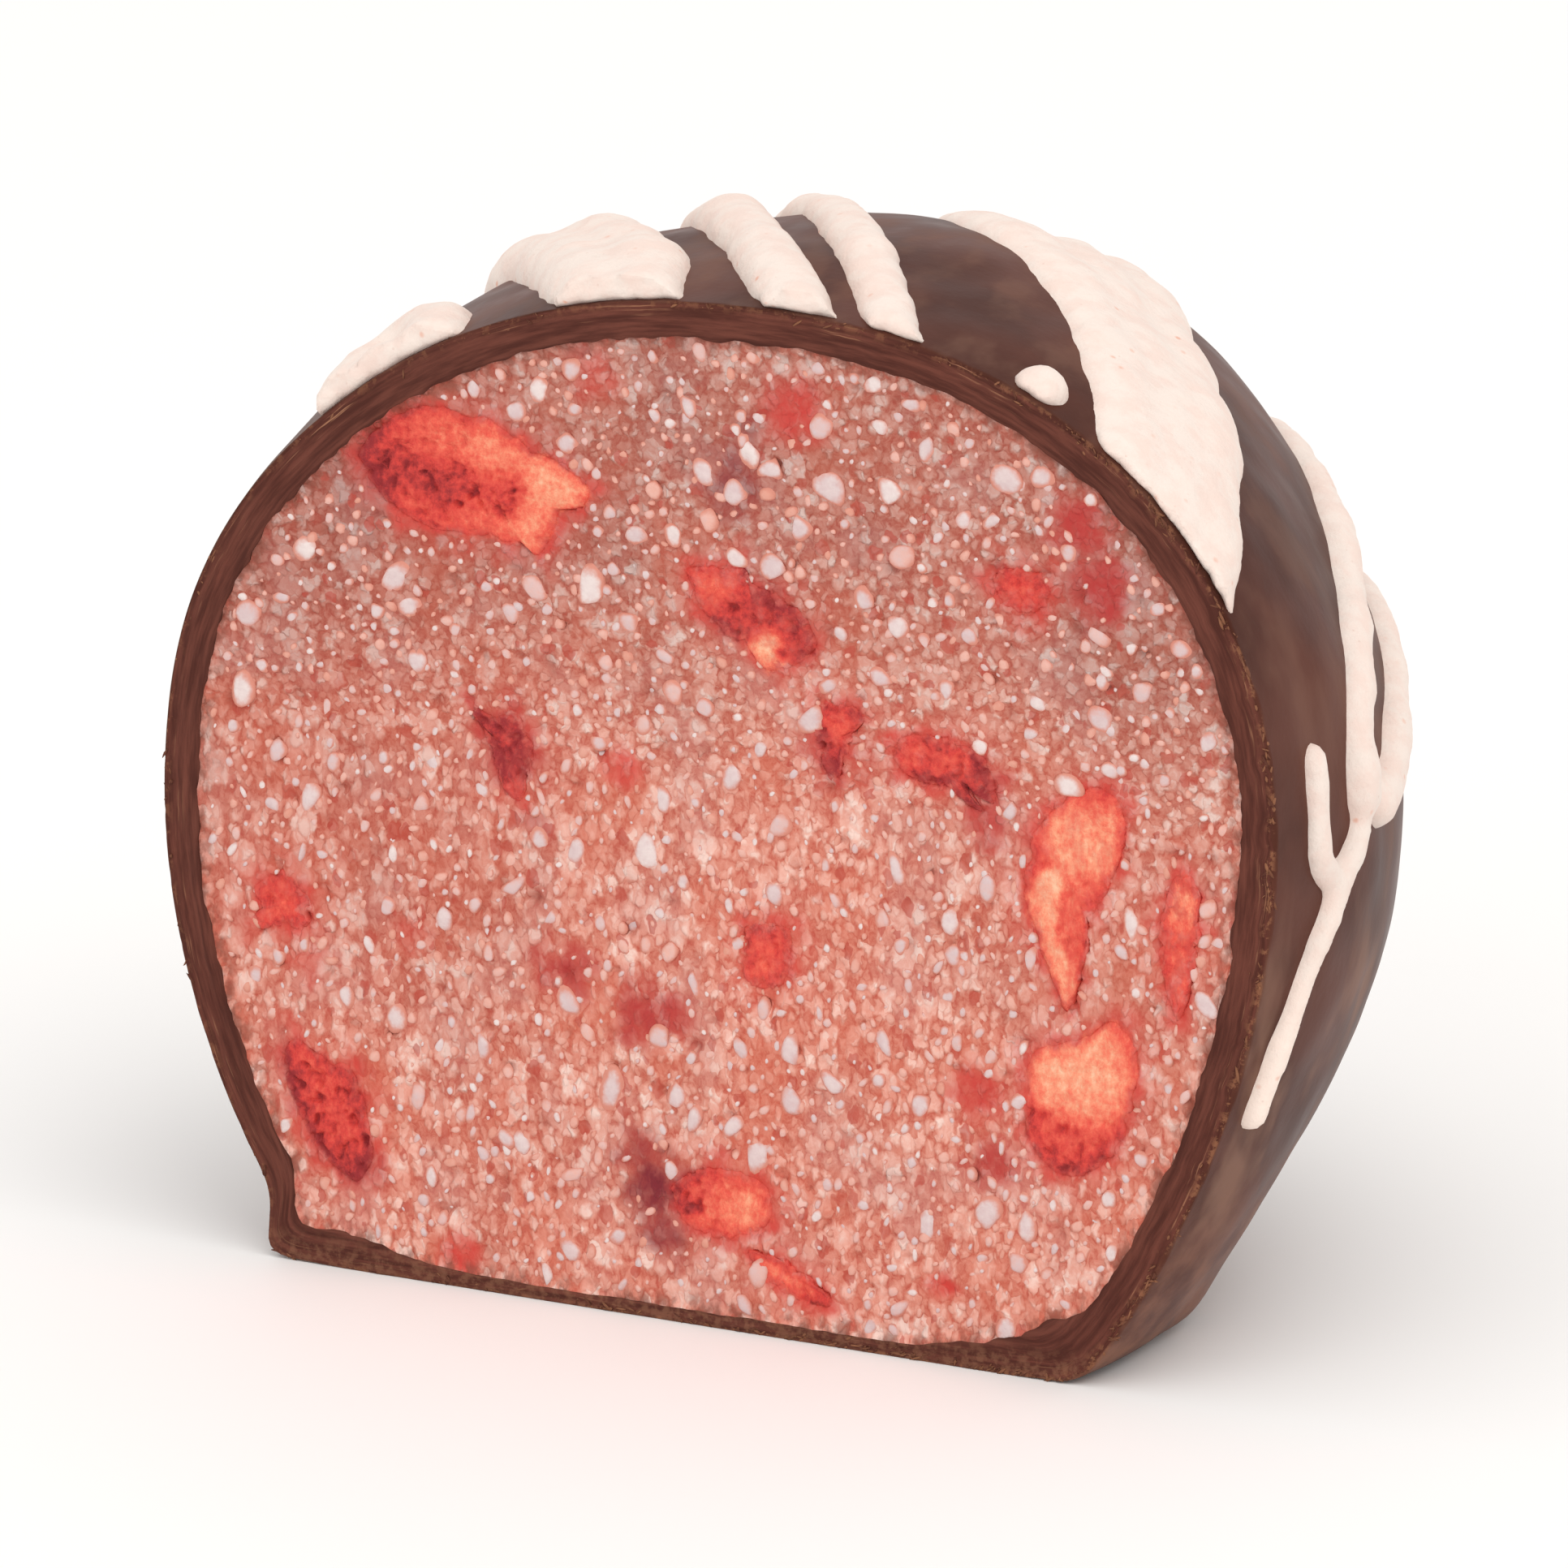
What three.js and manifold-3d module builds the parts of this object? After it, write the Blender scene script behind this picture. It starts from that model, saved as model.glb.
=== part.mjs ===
// Half of a strawberry truffle, cut down through the middle and standing on its flat base.
// A thin chocolate coating, with a white zigzag drizzle set on it, holds a pink strawberry
// and nut paste. The cut passes through the larger pieces of dried strawberry in the paste.
//
// Millimetres, +Z up. The cut face looks along -Y and +X is to its right. Shapes are worked
// out with the middle of the cut face's foot at 0, and the group then moves them so that the
// origin is under the middle of the whole piece.

import * as THREE from 'three';
import { ConvexGeometry } from 'three/addons/geometries/ConvexGeometry.js';
import { mergeVertices } from 'three/addons/utils/BufferGeometryUtils.js';
import Module from 'manifold-3d';

// ---- driving dimensions ----

const HALF_WIDTH = 17.63; // widest half width of the plain form
const HEART_Z = 14.78; // height of the point that the form is measured from
const HEART_Y = 3.62; // how far that point lies behind the cut face
const TOP_REACH = 14.87; // from the heart up to the crown
const LOW_REACH = 20.72; // from the heart down to where the flanks would meet
const TOP_SQUARENESS = 2.4; // 2 is an ellipse, more is boxier
const LOW_SQUARENESS = 2.14;
const FOOT_ROUNDING = 0.95; // blend between the flanks and the flat base
const LEAN = 0.71; // how far the crown leans to +X
const LEAN_HEIGHT = 30;

const WALL = 1.02; // coating on the flanks and crown
const FLOOR = 0.42; // coating under the paste
const CORNER_POOL = 3.2; // chocolate gathered in the inner bottom corner
const CORNER_POOL_RIGHT = 1.8; // and how much more of it lies on the +X side
const FIT_GAP = 0.2; // between coating and paste, and round each strawberry piece

const ORIGIN_X = 0.44; // middle of the whole piece, from the middle of the cut face
const ORIGIN_Y = 11.11;

// Swells and hollows of the hand-sized form: the way they face (degrees round from +X and
// degrees down from the crown), how wide they spread in degrees, and how far they stand out.
const SWELLS = [
  { round: -15, down: 125, spread: 38, out: -0.91 },
  { round: 40, down: 98, spread: 35, out: 0.73 },
  { round: 25, down: 62, spread: 32, out: -1.1 },
  { round: 195, down: 125, spread: 35, out: -0.21 },
  { round: 200, down: 55, spread: 35, out: -1.09 },
  { round: 60, down: 30, spread: 40, out: 0.82 },
  { round: 45, down: 130, spread: 35, out: -0.81 },
  { round: 120, down: 80, spread: 30, out: 0.35 },
  { round: 150, down: 120, spread: 34, out: -0.5 },
];

// The skirt where the wet coating spread on the belt, widest on the -X side.
const SKIRT_OUT = 1.1;
const SKIRT_MIDDLE = 0.85; // height of its widest part
const SKIRT_TALL = 0.8;

// The set coating stands on a flat between four corners, and outside it the foot rises a little.
// The front pair lies before the cut, so the cut takes off that end of the flat.
const FLAT_CORNERS = [[-12.4, -3], [10.3, -3], [5.2, 12.7], [-6.8, 12.2]];
const FOOT_RISE = 0.04; // mm up for each mm outside the flat
const FOOT_TRIM = 0.05; // what is trimmed from the plain form to make the flat

const BODY_TURNS = 62; // faces round the coating, and down it
const BODY_DROPS = 36;
const PASTE_TURNS = 44;
const PASTE_DROPS = 27;

// Rows of faces crowd round the foot's edge: share of the rows, and degrees down they reach.
const ROWS = [{ share: 0.6, down: 118 }, { share: 0.9, down: 143 }, { share: 1, down: 180 }];

// ---- chocolate form ----

const rad = THREE.MathUtils.degToRad;

// Unit vector that faces `round` degrees from +X and `down` degrees from the crown.
function facing(round, down) {
  const level = Math.sin(rad(down));
  return new THREE.Vector3(level * Math.cos(rad(round)), level * Math.sin(rad(round)), Math.cos(rad(down)));
}

// Smaller of two lengths, with their meeting rounded over `blend`.
function softMin(a, b, blend) {
  const h = THREE.MathUtils.clamp(0.5 + (0.5 * (b - a)) / blend, 0, 1);
  return b + (a - b) * h - blend * h * (1 - h);
}

const swellFacings = SWELLS.map((s) => facing(s.round, s.down));

// Length from the heart to the flank, before the base cuts it off.
function flankReach(dir) {
  const level = Math.max(Math.hypot(dir.x, dir.y), 1e-6);
  const upper = dir.z > 0;
  const power = upper ? TOP_SQUARENESS : LOW_SQUARENESS;
  const reach = upper ? TOP_REACH : LOW_REACH;
  let r = ((level / HALF_WIDTH) ** power + (Math.abs(dir.z) / reach) ** power) ** (-1 / power);
  SWELLS.forEach((swell, i) => {
    const away = THREE.MathUtils.radToDeg(dir.angleTo(swellFacings[i]));
    r += swell.out * Math.exp(-1.5 * (away / swell.spread) ** 2);
  });
  const round = Math.atan2(dir.y, dir.x);
  const height = HEART_Z + r * dir.z;
  const ragged = 0.5 - 0.75 * Math.cos(round) + 0.22 * Math.sin(5 * round + 1) + 0.16 * Math.sin(11 * round);
  return r + SKIRT_OUT * Math.max(ragged, 0) * Math.exp(-(((height - SKIRT_MIDDLE) / SKIRT_TALL) ** 2));
}

// Length from the heart to a level plane `floor` above the base.
function floorReach(dir, floor) {
  return dir.z < -1e-3 ? (HEART_Z - floor) / -dir.z : 1e3;
}

function coatingReach(dir) {
  return softMin(flankReach(dir), floorReach(dir, -FOOT_TRIM), FOOT_ROUNDING);
}

// The paste's own surface, `gap` inside the coating's inner wall.
function pasteReach(dir, gap) {
  const side = Math.max(dir.x, 0) * CORNER_POOL_RIGHT;
  return softMin(flankReach(dir) - WALL - gap, floorReach(dir, FLOOR + gap), CORNER_POOL + side);
}

// Point at `reach` from the heart, with the crown's lean.
function leaning(dir, reach) {
  const point = dir.clone().multiplyScalar(reach).add(new THREE.Vector3(0, HEART_Y, HEART_Z));
  point.x += LEAN * (point.z / LEAN_HEIGHT) ** 2;
  return point;
}

// ---- solids ----

const wasm = await Module();
wasm.setup();

function solid(geometry) {
  const bare = geometry.clone();
  bare.deleteAttribute('normal');
  bare.deleteAttribute('uv');
  const merged = mergeVertices(bare);
  return new wasm.Manifold(new wasm.Mesh({
    numProp: 3,
    vertProperties: new Float32Array(merged.attributes.position.array),
    triVerts: new Uint32Array(merged.index.array),
  }));
}

function geometryOf(manifold) {
  const mesh = manifold.getMesh();
  const geometry = new THREE.BufferGeometry();
  geometry.setAttribute('position', new THREE.BufferAttribute(mesh.vertProperties, 3));
  geometry.setIndex(new THREE.BufferAttribute(mesh.triVerts, 1));
  geometry.computeVertexNormals();
  return geometry;
}

// Degrees down from the crown of the row that lies `share` of the way through the rows.
function rowDown(share) {
  let from = { share: 0, down: 0 };
  for (const to of ROWS) {
    if (share <= to.share) return THREE.MathUtils.mapLinear(share, from.share, to.share, from.down, to.down);
    from = to;
  }
  return from.down;
}

// A ball's grid whose every point is moved out to reachOf(direction).
function bulb(reachOf, turns, drops) {
  const geometry = new THREE.SphereGeometry(1, turns, drops);
  const { position, uv } = geometry.attributes;
  for (let i = 0; i < position.count; i++) {
    const dir = facing(360 * uv.getX(i), rowDown(1 - uv.getY(i)));
    const point = leaning(dir, reachOf(dir));
    position.setXYZ(i, point.x, point.y, point.z);
  }
  return solid(geometry);
}

// Everything in front of the knife.
const BLOCK = 60;
const inFront = solid(new THREE.BoxGeometry(BLOCK, BLOCK, 2 * BLOCK).translate(0, -BLOCK / 2, 0));

// The space above the foot: a flat bottom with gently rising planes on from each of its edges.
function aboveFoot() {
  const corners = FLAT_CORNERS.map(([x, y]) => new THREE.Vector2(x, y));
  const outward = corners.map((corner, k) => {
    const edge = corners[(k + 1) % corners.length].clone().sub(corner).normalize();
    return new THREE.Vector2(edge.y, -edge.x);
  });
  // A corner moved out so that both edges beside it move out by `far`.
  const widened = (far) => corners.map((corner, k) => {
    const before = outward[(k + corners.length - 1) % corners.length];
    const both = before.clone().add(outward[k]);
    return corner.clone().addScaledVector(both, far / both.dot(outward[k]));
  });
  const ring = (spots, z) => spots.map((spot) => new THREE.Vector3(spot.x, spot.y, z));
  const rim = widened(BLOCK / 2);
  return solid(new ConvexGeometry([...ring(corners, 0), ...ring(rim, FOOT_RISE * BLOCK / 2), ...ring(rim, BLOCK)]));
}

// ---- drizzle ----

// Places on the form are read off a map of the crown: degrees from the crown to the right
// and degrees to the back. The cut face runs along back = -14 near the crown.
function onCoating(right, back) {
  const down = Math.hypot(right, back);
  const dir = facing(THREE.MathUtils.radToDeg(Math.atan2(back, right)), down);
  return leaning(dir, coatingReach(dir));
}

const PROBE = 0.5; // degrees between the points that give a normal

function frameOnCoating(right, back) {
  const at = onCoating(right, back);
  const toRight = onCoating(right + PROBE, back).sub(at);
  const toBack = onCoating(right, back + PROBE).sub(at);
  return { at, out: toRight.cross(toBack).normalize() };
}

const ROPE_SIDES = 8;
const ROPE_STEP = 1.45; // mm between sections of a rope
const DEGREE = 0.285; // mm on the coating for a degree of the map, on average
const ROPE_SUNK = 0.2; // how much of the half width the section's middle lies below the coating
const ROPE_LUMPS = 0.1;

// Half width of each rope and how high it stands in mm, and the places it runs through. The bag
// swings to and fro across the crown, so most ropes run from the knife to a turn low on the far
// flank and back.
const DRIZZLE = [
  { width: 1.15, high: 0.75, path: [[-35, -22], [-36, -12], [-39, -5], [-43, -4], [-46, -10], [-47, -22]] },
  { width: 1.42, high: 0.88, path: [[-15, -22], [-16, -12], [-22, -3], [-29, 7], [-36, 17], [-45, 28], [-57, 38], [-69, 44],
    [-80, 50], [-86, 56], [-82, 62], [-73, 60], [-60, 52], [-48, 41], [-37, 27], [-26, 12], [-17, 0], [-11, -12], [-9, -22]] },
  { width: 1.08, high: 0.78, path: [[11.5, -22], [7.2, -12], [1.2, -4], [-6, 6], [-15, 19], [-25, 34], [-36, 50], [-46, 65],
    [-55, 78], [-54, 88], [-45, 86], [-37, 72], [-29, 58], [-21, 45]] },
  { width: 0.9, high: 0.6, path: [[-21, 45], [-13, 33], [-4, 21], [4, 9], [11, -1], [18, -12], [22.5, -22]] },
  { width: 1.5, high: 0.5, path: [[47.5, -20], [45, -10], [39.5, -1], [33, 8], [26, 15], [17, 22], [8, 31], [-1, 45],
    [-9, 60], [-18, 77], [-25, 92], [-22, 103], [-13, 102], [-8, 90], [-1, 76], [7, 61], [14, 47], [22, 36], [30, 27],
    [38, 18], [45.5, 9], [52, -2], [57, -11], [58.5, -20]] },
  { width: 0.85, high: 0.6, path: [[87, 8], [82, 8], [77, 10], [72, 15], [66, 24], [56, 34], [44, 45], [32, 58], [22, 72],
    [14, 87], [8, 99], [10, 109], [19, 108], [26, 96], [33, 83], [41, 71], [50, 60], [58, 51], [66, 43], [73, 35], [79, 27],
    [84, 19], [86, 11]] },
  { width: 0.58, high: 0.55, path: [[86, 9], [90, 2.5], [94, -3.5], [99, -9], [104, -12.7], [109, -15.3], [113, -16.4]] },
  { width: 0.52, high: 0.45, path: [[76.5, -5], [80, -6], [84, -6.5], [88, -6], [91, -1]] },
  { width: 0.95, high: 0.6, path: [[76, 60], [69, 65], [60, 74], [52, 85], [45, 97], [43, 108]] },
  { width: 0.95, high: 0.6, path: [[35, -14], [35, -6.5]] },
];

// A closed rope laid on the coating: the rings of a sphere's grid become the rope's sections.
function rope({ width, high, path }, number) {
  const route = new THREE.CatmullRomCurve3(path.map(([right, back]) => new THREE.Vector3(right, back, 0)));
  const length = route.getLength() * DEGREE;
  const sections = Math.max(4, Math.round(length / ROPE_STEP) + 2);
  const geometry = new THREE.SphereGeometry(1, ROPE_SIDES, sections);
  const position = geometry.attributes.position;
  const grid = geometry.attributes.uv;
  const stations = [];
  for (let k = 0; k <= sections; k++) {
    const fromEnd = Math.min(k, sections - k);
    const even = (k - 1) / (sections - 2);
    const along = fromEnd === 0 ? k / sections : THREE.MathUtils.lerp(0.25 * width / length, 1 - 0.25 * width / length, even);
    const fatness = fromEnd === 0 ? 0 : fromEnd === 1 ? 0.66 : 1 + ROPE_LUMPS * Math.sin(2.3 * k + number);
    const place = route.getPointAt(THREE.MathUtils.clamp(along, 0, 1));
    stations.push({ ...frameOnCoating(place.x, place.y), half: width * fatness });
  }
  stations.forEach((station, k) => {
    const before = stations[Math.max(k - 1, 0)].at;
    const after = stations[Math.min(k + 1, sections)].at;
    station.side = station.out.clone().cross(after.clone().sub(before)).normalize();
  });
  for (let i = 0; i < position.count; i++) {
    const station = stations[Math.round((1 - grid.getY(i)) * sections)];
    const turn = 2 * Math.PI * grid.getX(i);
    const across = -Math.cos(turn) * station.half;
    const up = Math.sin(turn) * station.half * (high / width + ROPE_SUNK) - ROPE_SUNK * width;
    const point = station.at.clone().addScaledVector(station.side, across).addScaledVector(station.out, up);
    position.setXYZ(i, point.x, point.y, point.z);
  }
  return solid(geometry);
}

// ---- strawberry pieces ----

// Middle of each piece on the cut face, its width and height there, and its tilt in degrees.
const PIECES = [
  { x: -6.9, z: 23.3, wide: 6.9, high: 3.7, tilt: -18 },
  { x: 1.35, z: 20.8, wide: 4.3, high: 2.9, tilt: -20 },
  { x: 9.7, z: 22.6, wide: 1.8, high: 1.4, tilt: 0 },
  { x: 4.2, z: 17.8, wide: 1.4, high: 2.5, tilt: 10 },
  { x: 6.95, z: 17.3, wide: 2.6, high: 2.1, tilt: 20 },
  { x: -6.3, z: 15.7, wide: 1.8, high: 2.8, tilt: 10 },
  { x: 11.3, z: 15.4, wide: 2.8, high: 3.6, tilt: -12 },
  { x: 14.3, z: 13.6, wide: 1.2, high: 3.4, tilt: 6 },
  { x: -13.2, z: 10.6, wide: 1.8, high: 2.1, tilt: 0 },
  { x: 1.85, z: 11.2, wide: 1.7, high: 2.4, tilt: -15 },
  { x: 11.3, z: 8.3, wide: 3.1, high: 4.5, tilt: -14 },
  { x: -11.5, z: 5.0, wide: 2.3, high: 4.4, tilt: 18 },
  { x: 0.35, z: 3.7, wide: 3.4, high: 2.0, tilt: 8 },
  { x: 2.9, z: 1.75, wide: 2.4, high: 1.2, tilt: -14 },
];
const PIECE_DEPTH = 1.05; // depth of the whole lump over the mean of its width and height
const PIECE_LUMPS = 0.1;

// A lumpy pebble round the cut, grown by `gap` on every side to make its socket.
function pebble({ x, z, wide, high, tilt }, number, gap) {
  const geometry = new THREE.IcosahedronGeometry(1, wide + high > 5 ? 2 : 1);
  const position = geometry.attributes.position;
  const p = new THREE.Vector3();
  const deep = PIECE_DEPTH * (wide + high) / 2;
  for (let i = 0; i < position.count; i++) {
    p.fromBufferAttribute(position, i);
    const lump = 1 + PIECE_LUMPS * Math.sin(3.1 * p.x + 2.3 * p.z + 1.7 * p.y + 2 * number);
    position.setXYZ(i, p.x * (wide / 2 * lump + gap), p.y * (deep / 2 * lump + gap), p.z * (high / 2 * lump + gap));
  }
  geometry.rotateY(-rad(tilt)).translate(x, 0, z);
  return solid(geometry).subtract(inFront);
}

// ---- assembly ----

const paint = (color, roughness) => new THREE.MeshStandardMaterial({ color, roughness, metalness: 0 });
const chocolate = paint('#6a4840', 0.42);
const paste = paint('#d38a78', 0.7);
const strawberry = paint('#df5a4c', 0.75);

const truffle = new THREE.Group();

function add(name, manifold, material) {
  const mesh = new THREE.Mesh(geometryOf(manifold), material);
  mesh.name = name;
  truffle.add(mesh);
}

let coating = bulb(coatingReach, BODY_TURNS, BODY_DROPS);
DRIZZLE.forEach((strand, number) => {
  coating = coating.add(rope(strand, number));
});
const hollow = bulb((dir) => pasteReach(dir, 0), PASTE_TURNS, PASTE_DROPS);
add('chocolate_shell', coating.intersect(aboveFoot()).subtract(hollow).subtract(inFront), chocolate);

let filling = bulb((dir) => pasteReach(dir, FIT_GAP), PASTE_TURNS, PASTE_DROPS).subtract(inFront);
PIECES.forEach((piece, number) => {
  filling = filling.subtract(pebble(piece, number, FIT_GAP));
});
add('strawberry_filling', filling, paste);

PIECES.forEach((piece, number) => {
  add(`strawberry_piece_${String(number + 1).padStart(2, '0')}`, pebble(piece, number, 0), strawberry);
});

truffle.position.set(-ORIGIN_X, -ORIGIN_Y, 0);

export default truffle;
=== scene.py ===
# %% [markdown]
# # Half of a strawberry truffle
#
# A truffle this size is a ball of strawberry and nut paste that was dipped in dark chocolate,
# striped with a white drizzle and, here, cut down through the middle. The solids of the model
# are already in the frame: a coating, a paste and fourteen pieces of dried strawberry. This
# lesson dresses each of them. Lengths are in millimetres until a mesh is finished, because a
# nut grain of 0.4 is easier to read than one of 0.0004.

# %% Load the frame
import math

import bmesh
import bpy
import numpy as np
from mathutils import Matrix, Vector, geometry, noise


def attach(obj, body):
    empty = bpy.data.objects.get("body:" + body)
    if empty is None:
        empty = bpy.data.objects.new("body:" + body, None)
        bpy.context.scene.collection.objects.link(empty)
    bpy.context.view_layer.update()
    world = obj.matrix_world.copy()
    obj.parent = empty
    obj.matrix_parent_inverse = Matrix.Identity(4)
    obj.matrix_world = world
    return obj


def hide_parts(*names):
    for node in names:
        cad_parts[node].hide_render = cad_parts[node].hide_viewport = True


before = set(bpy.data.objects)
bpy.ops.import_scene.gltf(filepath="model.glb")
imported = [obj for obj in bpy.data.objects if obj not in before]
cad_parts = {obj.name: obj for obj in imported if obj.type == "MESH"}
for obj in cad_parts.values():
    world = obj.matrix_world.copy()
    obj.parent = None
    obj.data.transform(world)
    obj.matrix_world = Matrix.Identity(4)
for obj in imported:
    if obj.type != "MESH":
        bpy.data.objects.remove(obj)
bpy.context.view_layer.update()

MM = 0.001


# %% [markdown]
# ## The camera
#
# The camera has a long lens. It stands a little above the table and to the right of the cut
# face, so that the cut and one flank show together. A camera in a studio is set by where it
# aims, how far away it stands and how much width it takes in, so those are the values here and
# the lens is worked out from them. Angles are in degrees until they are used.

# %% Camera
CAMERA_TURN = math.radians(25.66)
CAMERA_RISE = math.radians(17.5)
CAMERA_AWAY = 450.0
AIM = Vector((-2.37, -1.99, 12.99))
WIDTH_SEEN = 44.1
SENSOR = 36.0

toward_camera = Vector((math.sin(CAMERA_TURN) * math.cos(CAMERA_RISE),
                        -math.cos(CAMERA_TURN) * math.cos(CAMERA_RISE),
                        math.sin(CAMERA_RISE)))
camera = bpy.data.objects.new("camera", bpy.data.cameras.new("camera"))
camera.data.sensor_width = SENSOR
camera.data.lens = SENSOR * CAMERA_AWAY / WIDTH_SEEN
camera.data.clip_start = 0.01
camera.location = (AIM + toward_camera * CAMERA_AWAY) * MM
camera.rotation_euler = toward_camera.to_track_quat("Z", "Y").to_euler()
bpy.context.scene.collection.objects.link(camera)
bpy.context.scene.camera = camera
print("lens", round(camera.data.lens), "mm")

# %% [markdown]
# ## Shader maths as Python
#
# A material is a small calculation for each point of the surface. Drawn as boxes and wires it
# soon gets hard to read, so a socket is wrapped in a class here and sums are written as sums.
# Every other node comes from the one method `node`, which sets the node up and then fills
# its sockets.

# %% A socket that can be added and multiplied
def fill_ramp(ramp, stops):
    while len(ramp.elements) < len(stops):
        ramp.elements.new(0.5)
    for element, (at, colour) in zip(ramp.elements, stops):
        element.position, element.color = at, colour


class Wire:
    """An output socket. Arithmetic on it adds Math nodes to its tree."""

    def __init__(self, tree, socket=None):
        self.tree, self.socket = tree, socket

    def node(self, kind, settings=None, sockets=None, output=0):
        made = self.tree.nodes.new(kind)
        for name, value in (settings or {}).items():
            if name == "stops":
                fill_ramp(made.color_ramp, value)
            else:
                setattr(made, name, value)
        for name, value in (sockets or {}).items():
            if isinstance(value, Wire):
                self.tree.links.new(value.socket, made.inputs[name])
            else:
                made.inputs[name].default_value = value
        return Wire(self.tree, made.outputs[output])

    def beside(self, output):
        """Another output of the node that this one comes from."""
        return Wire(self.tree, self.socket.node.outputs[output])

    def math(self, operation, *values):
        return self.node("ShaderNodeMath", {"operation": operation}, dict(enumerate(values)))

    def __add__(self, other):
        return self.math("ADD", self, other)

    def __sub__(self, other):
        return self.math("SUBTRACT", self, other)

    def __mul__(self, other):
        return self.math("MULTIPLY", self, other)

    def __radd__(self, other):
        return self.math("ADD", other, self)

    def __rsub__(self, other):
        return self.math("SUBTRACT", other, self)

    def __rmul__(self, other):
        return self.math("MULTIPLY", other, self)

    def between(self, low, high):
        """0 below low, 1 above high and smooth on the way; high may be the smaller one."""
        return self.node("ShaderNodeMapRange", {"interpolation_type": "SMOOTHSTEP"},
                         {"Value": self, "From Min": low, "From Max": high})


print("a Wire knows", ", ".join(name for name in vars(Wire) if not name.startswith("_")))

# %% Colours and textures
def colour(red, green, blue):
    """Linear colour from the 0 to 255 numbers of a colour picker."""
    def linear(level):
        level /= 255
        return level / 12.92 if level <= 0.04045 else ((level + 0.055) / 1.055) ** 2.4
    return (linear(red), linear(green), linear(blue), 1.0)


def mix(mask, first, second):
    """Colour that goes from first to second as mask goes from 0 to 1."""
    return mask.node("ShaderNodeMix", {"data_type": "RGBA"}, {0: mask, 6: first, 7: second}, 2)


def place(wire, stretch=(1, 1, 1)):
    """Position on the object in millimetres, squeezed by `stretch` before it meets a texture."""
    metres = wire.node("ShaderNodeTexCoord", output="Object")
    scale = tuple(s / MM for s in stretch)
    return wire.node("ShaderNodeVectorMath", {"operation": "MULTIPLY"}, {0: metres, 1: scale})


def cloud(where, size, detail=2.0, roughness=0.5, settings=None):
    """Soft noise from 0 to 1 with features about `size` across."""
    sockets = {"Vector": where, "Scale": 1 / size, "Detail": detail, "Roughness": roughness}
    return where.node("ShaderNodeTexNoise", settings, sockets)


def cells(where, size, output="Distance"):
    """Distance to the middle of the nearest cell, or that cell's own random colour."""
    return where.node("ShaderNodeTexVoronoi", None, {"Vector": where, "Scale": 1 / size}, output)


def painted(wire, name):
    """A number that the mesh carries at its points."""
    return wire.node("ShaderNodeAttribute", {"attribute_name": name}, output="Fac")


def bump(height, depth, under=None):
    """Normal for a height from 0 to 1 that stands for `depth` millimetres."""
    sockets = {"Height": height, "Distance": depth * MM, "Strength": 1.0}
    if under:
        sockets["Normal"] = under
    return height.node("ShaderNodeBump", None, sockets)


def new_finish(name):
    """An empty material with one Principled shader, and a Wire to build on."""
    material = bpy.data.materials.new(name)
    material.use_nodes = True
    shader = material.node_tree.nodes["Principled BSDF"]
    return material, shader, Wire(material.node_tree)


def connect(wire, shader, socket):
    wire.tree.links.new(wire.socket, shader.inputs[socket])


print("middle grey in linear light:", round(colour(128, 128, 128)[0], 3))

# %% [markdown]
# ## The form of the truffle
#
# The paste was rolled by hand, so the ball is a squarish round with a few swells and hollows,
# flat where it stood on the belt. A subdivision cage could follow that, but every layer here
# has to fit the next one, so the form is kept as a formula instead: how far the skin lies from
# a point in its heart, for any direction. Coating, drizzle, paste and cut edge all read it.

# %% Named sizes of the form
HEART = np.array([0.0, 3.62, 14.78])
HALF_WIDTH, TOP_REACH, LOW_REACH = 17.63, 14.87, 20.72
TOP_SQUARENESS, LOW_SQUARENESS = 2.4, 2.14
FOOT_ROUNDING, FOOT_TRIM, FOOT_RISE = 0.95, 0.05, 0.04
FLAT_CORNERS = np.array([(-12.4, -3), (10.3, -3), (5.2, 12.7), (-6.8, 12.2)])
LEAN, LEAN_HEIGHT = 0.71, 30.0
WALL, FLOOR = 1.02, 0.42
CORNER_POOL, CORNER_POOL_RIGHT = 3.2, 1.8
SKIRT_OUT, SKIRT_MIDDLE, SKIRT_TALL = 1.1, 0.85, 0.8
TO_ORIGIN = np.array([-0.44, -11.11, 0.0])

# Swells: degrees round from +X, degrees down from the crown, spread in degrees, height.
SWELLS = [(-15, 125, 38, -0.91), (40, 98, 35, 0.73), (25, 62, 32, -1.1), (195, 125, 35, -0.21),
          (200, 55, 35, -1.09), (60, 30, 40, 0.82), (45, 130, 35, -0.81), (120, 80, 30, 0.35),
          (150, 120, 34, -0.5)]
print("whole ball:", 2 * HALF_WIDTH, "by", round(TOP_REACH + LOW_REACH, 2), "mm before its trims")


# %% How far the skin lies in any direction
def facing(around, down):
    around, down = np.radians(around), np.radians(down)
    level = np.sin(down)
    return np.stack([level * np.cos(around), level * np.sin(around), np.cos(down) + 0 * around], -1)


def soft_min(a, b, blend):
    h = np.clip(0.5 + 0.5 * (b - a) / blend, 0, 1)
    return b + (a - b) * h - blend * h * (1 - h)


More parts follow.
